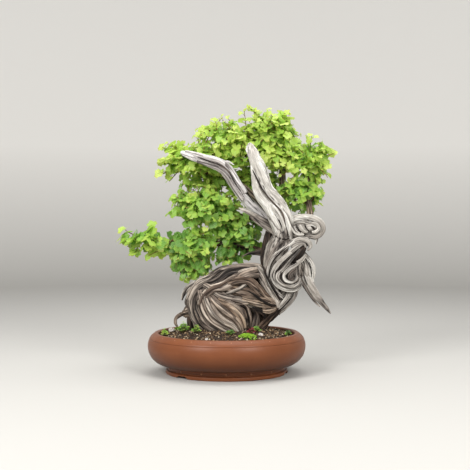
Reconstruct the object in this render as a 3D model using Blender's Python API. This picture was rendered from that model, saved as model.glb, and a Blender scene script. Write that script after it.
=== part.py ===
"""A bonsai: an old twisted trunk with bleached deadwood, leafy branches, soil, and a round drum pot.

Everything is in metres, +Z up. The origin is the middle of the pot's underside, on the table.
The front of the tree faces -Y. Guide points are written in millimetres as (x, y, z, radius).
"""

import math

import bmesh
import bpy
from mathutils import Matrix, Vector, noise

MM = 0.001

# ---- driving dimensions, in metres ------------------------------------------------------------
POT_RADIUS = 0.175  # the widest part of the pot's belly
POT_HEIGHT = 0.089  # table to the top of the lip
POT_WALL = 0.009
POT_FLOOR = 0.010
FOOT_INSET = 0.0395  # the belly's widest part in to the outside of the foot
FOOT_HEIGHT = 0.008  # the ledge that touches the table
FOOT_WIDTH = 0.014
NECK_INSET = 0.0055  # the outside of the foot in to the neck above it
NECK_HEIGHT = 0.0185  # where the belly begins
SHOULDER_WIDTH = 0.024  # the belly's widest part in to the mouth
BAND_DROP = 0.0125  # lip down to the bead under the shoulder band
SOIL_RECESS = 0.007  # lip down to the soil's edge
SOIL_MOUND = 0.017  # how far the soil rises towards the trunk
TREE_HEIGHT = 0.594  # table to the topmost leaf
GAP = 0.0003  # clearance between pieces that touch

DRAIN_RADIUS = 0.011
DRAIN_CIRCLE = 0.066
DRAIN_COUNT = 3
SCREEN_SIDE = 0.036
SCREEN_THICKNESS = 0.0014
SCREEN_BARS = 4

FOOT_STUDS = 15
FOOT_STUD_HEIGHT = 0.0132  # table to the middle of a stud on the neck
BAND_STUDS = 24
BAND_STUD_SHARE = 0.2  # of the way down the shoulder band's slope
STUD_RADIUS = 0.0022
STUD_RISE = 0.0011
FOOT_CUTS = (-45.0, 75.0, 195.0)  # degrees round from the front, towards +X
FOOT_CUT_WIDTH = 0.034
FOOT_CUT_HEIGHT = 0.005

ROUND_SIDES = 48
TRUNK_DETAIL = 0.0045  # how fine the trunk's skin is before it is thinned
TRUNK_THINNING = 0.13  # the share of its faces that it keeps

MOUTH_RADIUS = POT_RADIUS - SHOULDER_WIDTH
FOOT_RADIUS = POT_RADIUS - FOOT_INSET
SOIL_TOP = POT_HEIGHT - SOIL_RECESS + SOIL_MOUND

# The guide points are drawn for this tree's height, soil level and mouth. The crown grows with the
# tree's height, and the roots and what lies on the soil spread with the mouth.
DRAWN_HEIGHT = 0.594
DRAWN_SOIL = 0.099
DRAWN_MOUTH = 0.151
TREE_SCALE = (TREE_HEIGHT - SOIL_TOP) / (DRAWN_HEIGHT - DRAWN_SOIL)
ROOT_SCALE = MOUTH_RADIUS / DRAWN_MOUTH
CROWN_BASE = 0.262  # the drawn height where the first live branch leaves, and the crown's scale begins

# ---- the tree's guide points, millimetres -----------------------------------------------------
# name: (sides, points). Every limb runs into its neighbours, and they join into one piece of wood.
TRUNK_LIMBS = {
    "column": (
        11,
        [
            (126, 5, 138, 15),
            (113, 0, 174, 21),
            (103, -4, 212, 28),
            (106, -6, 246, 32),
            (117, -6, 278, 33),
            (127, -8, 304, 26),
            (121, -10, 332, 21),
            (107, -12, 358, 20),
            (88, -14, 388, 19),
            (75, -14, 424, 18),
            (64, -12, 458, 16),
            (54, -9, 488, 12),
            (48, -7, 506, 5),
        ],
    ),
    "left_jin": (
        8,
        [
            (-98, 0, 487, 5),
            (-72, 2, 478, 9),
            (-38, 6, 468, 12),
            (-8, 10, 458, 14),
            (14, 14, 434, 16),
            (33, 18, 405, 15),
            (53, 20, 376, 14),
            (78, 18, 348, 15),
            (102, 8, 318, 17),
        ],
    ),
    "stub": (8, [(26, -6, 364, 4), (50, -6, 354, 8), (76, -6, 338, 11), (102, -2, 312, 16)]),
    "curl": (
        8,
        [
            (132, 4, 316, 16),
            (156, 6, 338, 12),
            (184, 6, 343, 13),
            (205, 4, 328, 13),
            (203, 0, 308, 11),
            (182, -4, 298, 11),
            (158, -6, 295, 13),
            (132, -6, 288, 16),
        ],
    ),
    "brow": (
        7,
        [
            (126, -12, 280, 18),
            (154, -16, 291, 11),
            (176, -14, 286, 9),
            (184, -10, 270, 8),
            (174, -8, 252, 9),
        ],
    ),
    "tusk": (
        7,
        [
            (150, -8, 240, 12),
            (168, -8, 238, 13),
            (176, -8, 218, 14),
            (187, -8, 192, 11),
            (203, -8, 162, 8),
            (219, -8, 143, 5.5),
            (228, -8, 133, 3),
        ],
    ),
    "scroll": (7, [(108, -16, 192, 12), (130, -22, 184, 11), (150, -18, 188, 9), (158, -12, 206, 9)]),
    "shoulder": (
        9,
        [
            (72, -4, 214, 20),
            (42, -14, 218, 21),
            (6, -22, 208, 22),
            (-28, -28, 192, 22),
            (-52, -30, 168, 22),
            (-60, -32, 142, 22),
            (-48, -38, 114, 22),
            (-18, -46, 102, 20),
            (14, -50, 100, 15),
        ],
    ),
    "right_flank": (
        9,
        [
            (78, -2, 216, 18),
            (95, -2, 188, 18),
            (108, 0, 160, 17),
            (104, 2, 134, 15),
            (84, 0, 112, 16),
            (64, -4, 92, 17),
        ],
    ),
    "front_root": (8, [(-36, -50, 150, 16), (-10, -62, 132, 18), (16, -66, 110, 17), (26, -62, 92, 12)]),
    "front_swirl": (
        8,
        [
            (-48, -38, 178, 13),
            (-10, -56, 168, 15),
            (30, -60, 168, 15),
            (66, -48, 158, 14),
            (98, -20, 160, 12),
        ],
    ),
    "back_shoulder": (
        9,
        [(66, 22, 212, 22), (16, 38, 204, 24), (-34, 38, 172, 24), (-54, 32, 134, 22), (-46, 36, 98, 18)],
    ),
    "back_root": (8, [(88, 18, 176, 20), (76, 44, 136, 19), (58, 66, 98, 14)]),
    "back_left_root": (7, [(0, 48, 150, 20), (-8, 68, 116, 15), (-12, 84, 90, 9)]),
    "hook_root": (6, [(-70, -14, 130, 11), (-92, -16, 127, 7.5), (-109, -18, 120, 5.5), (-116, -20, 106, 4)]),
    "left_flake": (6, [(-58, -10, 186, 16), (-88, -8, 176, 9), (-101, -8, 156, 4)]),
    "live_stem": (9, [(110, 12, 262, 22), (112, 30, 302, 19), (104, 46, 344, 15)]),
}
# name: (centre, half sizes), millimetres
TRUNK_LUMPS = {
    "heart": ((18, 2, 156), (84, 62, 64)),
    "knee": ((56, -40, 122), (25, 25, 27)),
    "knot": ((134, -10, 220), (26, 25, 40)),
    "curl_core": ((166, 4, 320), (20, 11, 16)),
}

BRANCHES = {
    "branch_left_low": [
        (104, 14, 262, 12),
        (74, 38, 268, 9),
        (30, 46, 280, 8),
        (-22, 42, 284, 7),
        (-75, 32, 276, 5.5),
        (-122, 20, 284, 4),
        (-170, 10, 290, 3),
        (-212, 6, 292, 2),
    ],
    "branch_left_mid": [
        (108, 34, 312, 9),
        (78, 52, 330, 8),
        (38, 54, 344, 7),
        (-12, 44, 350, 6),
        (-60, 36, 356, 4.5),
        (-96, 30, 364, 3),
    ],
    "branch_top": [
        (104, 46, 344, 12),
        (94, 62, 392, 10),
        (70, 76, 440, 8.5),
        (46, 82, 490, 7),
        (28, 82, 540, 4.5),
    ],
    "branch_upper_left": [
        (96, 58, 362, 9),
        (66, 66, 386, 8.5),
        (28, 70, 420, 7.5),
        (-22, 72, 444, 6),
        (-70, 68, 460, 4.5),
        (-124, 60, 470, 3),
    ],
    "branch_top_right": [
        (98, 54, 364, 9),
        (122, 66, 396, 9),
        (126, 74, 450, 8),
        (118, 74, 510, 6),
        (112, 72, 556, 3.5),
    ],
    "branch_right": [
        (186, 6, 340, 9),
        (184, 20, 372, 7),
        (178, 32, 402, 6.5),
        (184, 42, 440, 5),
        (198, 46, 486, 3.5),
    ],
    "branch_back": [
        (112, 26, 292, 13),
        (108, 62, 312, 10),
        (92, 100, 344, 8),
        (74, 130, 388, 6),
        (66, 140, 430, 4),
    ],
}

# name: (centre, half sizes), millimetres. Each stands for the leaves of one spray.
FOLIAGE = {
    "foliage_left_tip": ((-186, 8, 286), (61, 32, 38)),
    "foliage_left_low": ((-78, 28, 258), (76, 60, 62)),
    "foliage_left_inner": ((20, 56, 292), (58, 52, 52)),
    "foliage_left_mid": ((-46, 36, 362), (94, 62, 58)),
    "foliage_upper_left": ((-86, 68, 458), (82, 56, 54)),
    "foliage_top_left": ((-4, 82, 512), (82, 58, 64)),
    "foliage_top": ((95, 76, 518), (82, 64, 76)),
    "foliage_right": ((182, 52, 466), (66, 56, 70)),
    "foliage_right_low": ((166, 40, 394), (60, 42, 44)),
    "foliage_back": ((70, 120, 400), (78, 56, 74)),
    "foliage_back_left": ((-40, 118, 384), (58, 50, 70)),
}

# ---- small things on the soil --------------------------------------------------------------
# name: (degrees round from the front, distance from the middle, half width, rise)
MOSS = {
    "moss_front": (22, 0.116, 0.020, 0.008),
    "moss_left": (-112, 0.112, 0.020, 0.005),
    "moss_back": (168, 0.118, 0.026, 0.006),
}
SPROUTS = {
    "sprout_rim": (-76, 0.1405, 0.007, 0.014),
    "sprout_left": (-66, 0.103, 0.015, 0.022),
    "sprout_middle": (-42, 0.099, 0.011, 0.016),
    "sprout_front": (5, 0.095, 0.009, 0.009),
    "sprout_red": (34, 0.097, 0.009, 0.010),
    "sprout_right": (48, 0.088, 0.010, 0.012),
    "sprout_edge": (76, 0.139, 0.008, 0.011),
}
# name: (degrees round from the front, distance from the middle, radius)
PEBBLES = {
    "pebble_white": (39, 0.117, 0.0055),
    "pebble_grey": (-88, 0.122, 0.0075),
    "pebble_small": (-18, 0.134, 0.0036),
}


# ---- helpers -----------------------------------------------------------------------------------
def clear_scene():
    for obj in list(bpy.data.objects):
        bpy.data.objects.remove(obj, do_unlink=True)


def finish(name, colour, roughness, metallic=0.0):
    """A plain Principled material."""
    material = bpy.data.materials.new(name)
    material.use_nodes = True
    shader = material.node_tree.nodes["Principled BSDF"]
    shader.inputs["Base Color"].default_value = (*colour, 1.0)
    shader.inputs["Roughness"].default_value = roughness
    shader.inputs["Metallic"].default_value = metallic
    return material


def object_from(name, bm, material=None, smooth=True):
    """Turns a bmesh into a named object with its faces pointing out."""
    bmesh.ops.recalc_face_normals(bm, faces=bm.faces)
    if bm.calc_volume(signed=True) < 0:
        bmesh.ops.reverse_faces(bm, faces=bm.faces)
    mesh = bpy.data.meshes.new(name)
    bm.to_mesh(mesh)
    bm.free()
    if smooth:
        mesh.shade_smooth()
        mesh.set_sharp_from_angle(angle=math.radians(40))
    obj = bpy.data.objects.new(name, mesh)
    bpy.context.scene.collection.objects.link(obj)
    if material:
        mesh.materials.append(material)
    return obj


def as_helper(obj):
    """A cutter or an operand: drawn as wire and left out of the model."""
    obj.hide_render = True
    obj.display_type = "WIRE"
    return obj


def boolean(target, other, operation):
    modifier = target.modifiers.new(f"{operation.lower()}_{other.name}", "BOOLEAN")
    modifier.operation = operation
    modifier.object = other
    modifier.solver = "EXACT"
    return modifier


def box_of(obj):
    corners = [Vector(c) for c in obj.bound_box]
    low = Vector(map(min, *corners))
    high = Vector(map(max, *corners))
    return low, high


def boxes_touch(first, second):
    (low_a, high_a), (low_b, high_b) = box_of(first), box_of(second)
    return all(low_a[i] < high_b[i] and low_b[i] < high_a[i] for i in range(3))


def clear_of(target, cutters):
    """Cuts target back from every cutter that comes near it."""
    for cutter in cutters:
        if boxes_touch(target, cutter):
            boolean(target, cutter, "DIFFERENCE")


def spread(z):
    """How far the tree is scaled sideways at a guide point's height: the mouth's share, then the crown's."""
    share = min(1.0, max(0.0, (z * MM - DRAWN_SOIL) / (CROWN_BASE - DRAWN_SOIL)))
    return ROOT_SCALE + (TREE_SCALE - ROOT_SCALE) * share


def placed(x, y, z):
    """A guide point in metres, scaled about the middle of the soil's surface."""
    scale = spread(z) * MM
    return Vector((x * scale, y * scale, SOIL_TOP + (z * MM - DRAWN_SOIL) * TREE_SCALE))


def smooth_path(points, steps):
    """Catmull-Rom through (x, y, z, radius) guide points: a list of (position, radius) in metres."""
    ends = [points[0], *points, points[-1]]
    path = []
    for a, b, c, d in zip(ends, ends[1:], ends[2:], ends[3:]):
        for k in range(steps):
            t = k / steps
            values = [
                0.5
                * (2 * q + (r - p) * t + (2 * p - 5 * q + 4 * r - s) * t * t + (3 * q - p - 3 * r + s) * t**3)
                for p, q, r, s in zip(a, b, c, d)
            ]
            path.append((placed(*values[:3]), max(values[3], 1.0) * MM * spread(values[2])))
    path.append((placed(*points[-1][:3]), points[-1][3] * MM * spread(points[-1][2])))
    return path


def swept(name, points, sides, steps=2, grow=0.0, knobbly=0.10, material=None):
    """A tapering limb with domed ends along guide points. grow adds clearance all round."""
    path = smooth_path(points, steps)
    places = [p for p, _ in path]
    tangents = [
        (places[min(i + 1, len(places) - 1)] - places[max(i - 1, 0)]).normalized() for i in range(len(places))
    ]
    # Each end is closed by a narrower ring and a pole, so that it is domed.
    first, last = path[0][1] + grow, path[-1][1] + grow
    stations = [
        (places[0] - tangents[0] * first * 0.55, tangents[0], first * 0.78),
        *[(p, t, r + grow) for (p, r), t in zip(path, tangents)],
        (places[-1] + tangents[-1] * last * 0.55, tangents[-1], last * 0.78),
    ]
    bm = bmesh.new()
    side = tangents[0].orthogonal().normalized()
    rings = []
    for place, tangent, radius in stations:
        side = (side - tangent * side.dot(tangent)).normalized()
        other = tangent.cross(side)
        ring = []
        for k in range(sides):
            turn = 2 * math.pi * k / sides
            out = side * math.cos(turn) + other * math.sin(turn)
            bump = 1 + knobbly * noise.noise((place + out * 0.02) * 45)
            ring.append(bm.verts.new(place + out * (radius * bump + grow * (1 - bump))))
        rings.append(ring)
    for low, high in zip(rings, rings[1:]):
        for k in range(sides):
            bm.faces.new((low[k], low[(k + 1) % sides], high[(k + 1) % sides], high[k]))
    for ring, pole_at in (
        (rings[0], places[0] - tangents[0] * first * 0.9),
        (rings[-1], places[-1] + tangents[-1] * last * 0.9),
    ):
        pole = bm.verts.new(pole_at)
        for k in range(sides):
            bm.faces.new((ring[k], ring[(k + 1) % sides], pole))
    return object_from(name, bm, material)


def lump(name, centre, half_sizes, level, grow=0.0, knobbly=0.08, material=None):
    """A knobbly ellipsoid round a guide point."""
    bm = bmesh.new()
    bmesh.ops.create_icosphere(bm, subdivisions=level, radius=1.0)
    middle = placed(*centre)
    scales = (spread(centre[2]), spread(centre[2]), TREE_SCALE)
    for vert in bm.verts:
        out = vert.co.normalized()
        bump = 1 + knobbly * noise.noise(out * 2.3 + middle * 40)
        size = Vector((out[i] * (half_sizes[i] * MM * scales[i] * bump + grow) for i in range(3)))
        vert.co = middle + size
    return object_from(name, bm, material)


def turned(name, outline, material=None, sides=ROUND_SIDES):
    """A solid of revolution. outline is a list of (radius, z), and a radius of 0 closes it on the axis."""
    bm = bmesh.new()
    rings = []
    for radius, z in outline:
        if radius < 1e-9:
            rings.append([bm.verts.new((0, 0, z))])
            continue
        turns = [2 * math.pi * k / sides for k in range(sides)]
        rings.append([bm.verts.new((radius * math.cos(a), radius * math.sin(a), z)) for a in turns])
    closed = outline[0][0] > 1e-9 or outline[-1][0] > 1e-9
    pairs = list(zip(rings, rings[1:])) + ([(rings[-1], rings[0])] if closed else [])
    for one, two in pairs:
        for k in range(sides):
            corners = [one[k % len(one)], one[(k + 1) % len(one)], two[(k + 1) % len(two)], two[k % len(two)]]
            bm.faces.new(list(dict.fromkeys(corners)))
    return object_from(name, bm, material)


def block(name, centre, size, turn=0.0):
    """A box turned about Z, for cutting."""
    bm = bmesh.new()
    bmesh.ops.create_cube(bm, size=1.0)
    for vert in bm.verts:
        vert.co = Vector((vert.co.x * size[0], vert.co.y * size[1], vert.co.z * size[2]))
    obj = object_from(name, bm, smooth=False)
    obj.rotation_euler.z = turn
    obj.location = centre
    return as_helper(obj)


def without_voids(limbs):
    """Turns the limbs into their evaluated skin, less the small voids that they shut in between them."""
    graph = bpy.context.evaluated_depsgraph_get()
    graph.update()
    bm = bmesh.new()
    bm.from_mesh(bpy.data.meshes.new_from_object(limbs.evaluated_get(graph)))
    left = set(bm.verts)
    shells = []
    while left:
        shell, edge = set(), [next(iter(left))]
        while edge:
            vert = edge.pop()
            if vert in left:
                left.remove(vert)
                shell.add(vert)
                edge += [e.other_vert(vert) for e in vert.link_edges]
        shells.append(shell)
    shells.sort(key=len)
    bmesh.ops.delete(bm, geom=[v for shell in shells[:-1] for v in shell], context="VERTS")
    bm.to_mesh(limbs.data)
    bm.free()
    limbs.modifiers.clear()
    return limbs


def from_front(degrees, distance):
    """A point round the pot, measured from the front (-Y) towards +X."""
    turn = math.radians(degrees)
    return distance * math.sin(turn), -distance * math.cos(turn)


# ---- the pot -----------------------------------------------------------------------------------
BELLY_RADIUS = (POT_HEIGHT - BAND_DROP - NECK_HEIGHT) * 0.71  # of the round that the belly rolls on
BELLY_Z = NECK_HEIGHT + BELLY_RADIUS
BELLY_AT = POT_RADIUS - BELLY_RADIUS
BAND_ANGLE = 22.0  # degrees up the belly's round where the shoulder band starts
FLOOR_TOP = FOOT_HEIGHT + 0.001 + POT_FLOOR


def belly_point(degrees, inset=0.0):
    turn = math.radians(degrees)
    radius = BELLY_RADIUS - inset
    return BELLY_AT + radius * math.cos(turn), BELLY_Z + radius * math.sin(turn)


def inner_outline(inset=0.0):
    """The pot's inside from the floor's rim up to the mouth, drawn in by inset."""
    wall = POT_WALL + inset
    rolled = [belly_point(a, wall) for a in (-75, -45, -15, 15, 35)]
    mouth = (MOUTH_RADIUS - inset, POT_HEIGHT - SOIL_RECESS - 0.001)
    return [(BELLY_AT - 0.012 - inset, FLOOR_TOP + inset), *rolled, mouth]


def shoulder_slope():
    """The shoulder band's slope, from the lip's edge down to the bead: two points as (radius, z)."""
    band_r, band_z = belly_point(BAND_ANGLE)
    return (MOUTH_RADIUS + 0.0105, POT_HEIGHT - 0.0022), (band_r - 0.0006, band_z + 0.0028)


def pot_outline():
    neck = FOOT_RADIUS - NECK_INSET
    band_r, band_z = belly_point(BAND_ANGLE)
    lip, bead = shoulder_slope()
    outside = [
        (FOOT_RADIUS - FOOT_WIDTH, 0.0),
        (FOOT_RADIUS - 0.0015, 0.0),
        (FOOT_RADIUS, 0.0015),
        (FOOT_RADIUS, FOOT_HEIGHT - 0.0015),
        (FOOT_RADIUS - 0.0015, FOOT_HEIGHT),
        (neck, FOOT_HEIGHT + 0.0008),
        (neck, NECK_HEIGHT - 0.001),
        *[belly_point(a) for a in (-82, -62, -42, -22, 0, BAND_ANGLE)],
        (band_r - 0.0012, band_z + 0.0010),
        bead,
        lip,
        (MOUTH_RADIUS + 0.0060, POT_HEIGHT),
        (MOUTH_RADIUS + 0.0015, POT_HEIGHT - 0.0008),
        (MOUTH_RADIUS, POT_HEIGHT - 0.0035),
    ]
    inside = list(reversed(inner_outline())) + [(0.0, FLOOR_TOP)]
    under = [(0.0, FOOT_HEIGHT + 0.001), (FOOT_RADIUS - FOOT_WIDTH, FOOT_HEIGHT + 0.001)]
    return [under[0], under[1], *outside, *inside]


def stud(name, degrees, radius, z, lean):
    """A small domed nail head standing out of the pot's wall. lean is the wall's slope in degrees."""
    bm = bmesh.new()
    sides = 6
    tilt = math.radians(lean)
    outward = Vector((math.cos(tilt), 0, math.sin(tilt)))
    up = Vector((-math.sin(tilt), 0, math.cos(tilt)))
    across = Vector((0, 1, 0))
    at = Vector((radius, 0, z))
    rings = []
    for share, rise in ((1.0, -0.0020), (1.0, STUD_RISE * 0.35), (0.62, STUD_RISE)):
        rings.append(
            [
                bm.verts.new(
                    at
                    + outward * rise
                    + (up * math.cos(t) + across * math.sin(t)) * STUD_RADIUS * share
                )
                for t in (2 * math.pi * k / sides for k in range(sides))
            ]
        )
    for low, high in zip(rings, rings[1:]):
        for k in range(sides):
            bm.faces.new((low[k], low[(k + 1) % sides], high[(k + 1) % sides], high[k]))
    bm.faces.new(rings[0])
    bm.faces.new(rings[-1])
    turn = Matrix.Rotation(math.radians(degrees - 90), 3, "Z")
    bmesh.ops.rotate(bm, verts=bm.verts, cent=(0, 0, 0), matrix=turn)
    return as_helper(object_from(name, bm))


def make_pot():
    clay = finish("clay", (0.27, 0.115, 0.062), 0.42)
    pot = turned("pot", pot_outline(), clay)
    studs = []
    for k in range(FOOT_STUDS):
        neck_at = (FOOT_RADIUS - NECK_INSET, FOOT_STUD_HEIGHT)
        studs.append(stud(f"foot_stud_{k}", 360 * k / FOOT_STUDS, *neck_at, 0))
    lip, bead = (Vector(p) for p in shoulder_slope())
    band_at = lip.lerp(bead, BAND_STUD_SHARE)
    lean = 90 - math.degrees(math.atan2(lip.y - bead.y, bead.x - lip.x))
    half_side = 180 / ROUND_SIDES  # degrees, so that each stud sits on the flat between two edges
    for k in range(BAND_STUDS):
        studs.append(stud(f"band_stud_{k}", 360 * k / BAND_STUDS + half_side, *band_at, lean))
    for one in studs:
        boolean(pot, one, "UNION")
    for k, degrees in enumerate(FOOT_CUTS):
        x, y = from_front(degrees, FOOT_RADIUS - FOOT_WIDTH / 2)
        size = (FOOT_CUT_WIDTH, FOOT_WIDTH * 2, FOOT_CUT_HEIGHT * 2)
        boolean(pot, block(f"foot_cut_{k}", (x, y, 0), size, math.radians(degrees)), "DIFFERENCE")
    for k in range(DRAIN_COUNT):
        x, y = drain_place(k)
        top = FLOOR_TOP * 2
        drill = turned(f"drill_{k}", [(0, 0), (DRAIN_RADIUS, 0), (DRAIN_RADIUS, top), (0, top)], sides=16)
        drill.location = (x, y, 0)
        boolean(pot, as_helper(drill), "DIFFERENCE")
    return pot


def drain_place(k):
    return from_front(360 * k / DRAIN_COUNT + 15, DRAIN_CIRCLE)


def make_screens():
    """A square plastic mesh over each drain hole, lying on the pot's floor."""
    plastic = finish("screen_plastic", (0.03, 0.05, 0.035), 0.6)
    screens = []
    pitch = SCREEN_SIDE / SCREEN_BARS
    for k in range(DRAIN_COUNT):
        x, y = drain_place(k)
        bm = bmesh.new()
        bmesh.ops.create_grid(bm, x_segments=2 * SCREEN_BARS - 1, y_segments=2 * SCREEN_BARS - 1, size=0.5)
        lines = sorted({round(v.co.x, 5) for v in bm.verts})
        bar = pitch * 0.45
        step = (SCREEN_SIDE - bar) / (SCREEN_BARS - 1)
        spots = [i // 2 * step + (i % 2) * bar - SCREEN_SIDE / 2 for i in range(len(lines))]
        moved = dict(zip(lines, spots))
        for vert in bm.verts:
            vert.co = Vector((moved[round(vert.co.x, 5)], moved[round(vert.co.y, 5)], 0))
        middles = [(a + b) / 2 for a, b in zip(spots, spots[1:])]
        holes = middles[1::2]
        for face in list(bm.faces):
            middle = face.calc_center_median()
            if all(any(abs(v - h) < 1e-6 for h in holes) for v in (middle.x, middle.y)):
                bm.faces.remove(face)
        bottom = list(bm.faces)
        grown = bmesh.ops.extrude_face_region(bm, geom=bottom)
        raised = [g for g in grown["geom"] if isinstance(g, bmesh.types.BMVert)]
        bmesh.ops.translate(bm, verts=raised, vec=(0, 0, SCREEN_THICKNESS))
        screen = object_from(f"drain_screen_{k + 1}", bm, plastic, smooth=False)
        screen.location = (x, y, FLOOR_TOP + GAP)
        screens.append(screen)
    return screens


# ---- the soil ----------------------------------------------------------------------------------
def soil_surface():
    """The soil's surface as (radius, z), from the middle out to the pot's wall."""
    edge_r = MOUTH_RADIUS - GAP * 2
    edge_z = POT_HEIGHT - SOIL_RECESS
    shares = ((0.0, 1.0), (0.40, 0.95), (0.60, 0.78), (0.74, 0.54), (0.87, 0.24), (0.95, 0.08))
    return [(edge_r * r, edge_z + SOIL_MOUND * h) for r, h in shares] + [(edge_r, edge_z)]


def soil_height(distance):
    line = soil_surface()
    for (r0, z0), (r1, z1) in zip(line, line[1:]):
        if distance <= r1:
            return z0 + (z1 - z0) * (distance - r0) / (r1 - r0)
    return line[-1][1]


def make_soil(trunk, around_trunk):
    earth = finish("soil", (0.055, 0.036, 0.024), 0.95)
    wall = reversed(inner_outline(GAP * 2))
    soil = turned("soil", [*soil_surface(), *wall, (0.0, FLOOR_TOP + GAP * 2)], earth)
    clear_of(soil, [around_trunk, trunk])
    side = SCREEN_SIDE + 4 * GAP
    for k in range(DRAIN_COUNT):
        x, y = drain_place(k)
        pocket = block(f"pocket_{k}", (x, y, FLOOR_TOP), (side, side, 2 * (SCREEN_THICKNESS + 2 * GAP)))
        boolean(soil, pocket, "DIFFERENCE")
    return soil


def soil_patch(name, degrees, distance, half_width, rise, material, sides=14):
    """A low cushion lying on the soil: its underside follows the soil, its top is domed."""
    bm = bmesh.new()
    drawn_distance = distance
    distance, half_width = distance * ROOT_SCALE, half_width * ROOT_SCALE
    cx, cy = from_front(degrees, distance)
    widest = MOUTH_RADIUS - distance - 0.003
    rings = []
    for share, height in ((0.0, 0.0), (0.55, 0.0), (1.0, 0.0), (0.96, 0.35), (0.62, 0.85), (0.0, 1.0)):
        ring = []
        for k in range(1 if share == 0 else sides):
            turn = 2 * math.pi * k / sides
            spot = Vector((math.cos(turn), math.sin(turn), drawn_distance * 90))
            reach = half_width * share * (1 + 0.22 * noise.noise(spot))
            radial = min(reach * math.cos(turn) * 0.8, widest)
            out = math.radians(degrees)
            x = cx + radial * math.sin(out) + reach * math.sin(turn) * math.cos(out)
            y = cy - radial * math.cos(out) + reach * math.sin(turn) * math.sin(out)
            z = soil_height(math.hypot(x, y)) + GAP * 2 + rise * height
            ring.append(bm.verts.new((x, y, z)))
        rings.append(ring)
    for one, two in zip(rings, rings[1:]):
        for k in range(sides):
            corners = [one[k % len(one)], one[(k + 1) % len(one)], two[(k + 1) % len(two)], two[k % len(two)]]
            bm.faces.new(list(dict.fromkeys(corners)))
    return object_from(name, bm, material)


def make_ground_cover(around_trunk):
    moss = finish("moss", (0.16, 0.30, 0.04), 0.9)
    leaf = finish("sprout_leaf", (0.12, 0.28, 0.07), 0.6)
    red = finish("sprout_red", (0.22, 0.03, 0.04), 0.6)
    stone = finish("pebble_stone", (0.62, 0.56, 0.48), 0.8)
    for name, spot in MOSS.items():
        clear_of(soil_patch(name, *spot, moss), [around_trunk])
    for name, spot in SPROUTS.items():
        clear_of(soil_patch(name, *spot, red if name.endswith("red") else leaf, sides=9), [around_trunk])
    for name, (degrees, distance, radius) in PEBBLES.items():
        bm = bmesh.new()
        bmesh.ops.create_icosphere(bm, subdivisions=2, radius=1.0)
        x, y = from_front(degrees, distance * ROOT_SCALE)
        z = soil_height(distance * ROOT_SCALE) + radius * 0.72 + GAP * 2
        for vert in bm.verts:
            bump = 1 + 0.16 * noise.noise(vert.co * 1.7 + Vector((radius * 900, 0, 0)))
            stone_at = Vector((vert.co.x * bump, vert.co.y * 0.8 * bump, vert.co.z * 0.7)) * radius
            vert.co = stone_at + Vector((x, y, z))
        object_from(name, bm, stone)


# ---- the tree ----------------------------------------------------------------------------------
def trunk_limbs():
    """Every limb and lump of the trunk in one mesh, still running through each other."""
    bm = bmesh.new()
    pieces = [swept(f"limb_{n}", points, sides) for n, (sides, points) in TRUNK_LIMBS.items()]
    pieces += [lump(f"lump_{n}", centre, half, 3) for n, (centre, half) in TRUNK_LUMPS.items()]
    for piece in pieces:
        bm.from_mesh(piece.data)
        bpy.data.objects.remove(piece, do_unlink=True)
    return bm


def grown_together(trunk):
    """Joins the limbs into one skin of living and dead wood, then thins its faces."""
    skin = trunk.modifiers.new("skin", "REMESH")
    skin.mode = "VOXEL"
    skin.voxel_size = TRUNK_DETAIL
    skin.use_smooth_shade = True
    thin = trunk.modifiers.new("thin", "DECIMATE")
    thin.ratio = TRUNK_THINNING
    return without_voids(trunk)


def make_trunk():
    wood = finish("old_wood", (0.33, 0.27, 0.22), 0.8)
    return grown_together(object_from("trunk", trunk_limbs(), wood))


def make_trunk_clearance(trunk):
    """The same wood with clearance all round, for what grows or lies against it."""
    bm = bmesh.new()
    bm.from_mesh(trunk.data)
    bm.normal_update()
    for vert, normal in [(v, v.normal.copy()) for v in bm.verts]:
        vert.co += normal * GAP * 2
    return as_helper(object_from("trunk_clearance", bm))


def make_branches(around_trunk):
    bark = finish("live_bark", (0.17, 0.105, 0.07), 0.85)
    cutters = []
    for name, points in BRANCHES.items():
        branch = swept(name, points, 7, material=bark)
        clear_of(branch, [around_trunk, *cutters])
        cutters.append(as_helper(swept(f"clear_{name}", points, 7, grow=GAP * 2)))
    return cutters


def make_foliage(wood_cutters):
    leaves = finish("leaf", (0.17, 0.36, 0.05), 0.5)
    cutters = []
    for name, (centre, half) in FOLIAGE.items():
        spray = lump(name, centre, half, 3, knobbly=0.12, material=leaves)
        clear_of(spray, [*wood_cutters, *cutters])
        cutters.append(as_helper(lump(f"clear_{name}", centre, half, 3, GAP * 4, knobbly=0.12)))


def main():
    clear_scene()
    make_pot()
    make_screens()
    trunk = make_trunk()
    around_trunk = make_trunk_clearance(trunk)
    make_soil(trunk, around_trunk)
    make_ground_cover(around_trunk)
    branch_cutters = make_branches(around_trunk)
    make_foliage([around_trunk, *branch_cutters])


main()
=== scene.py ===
"""The looks of the bonsai: grained living and dead wood, lobed leaves on shoots, crumbly soil and a clay pot.

Guide points are in millimetres in the row frame, as (x, y, z, radius). The front of the tree faces -Y.
"""

import math
import random

import bmesh
import bpy
import numpy as np
from mathutils import Matrix, Vector


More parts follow.
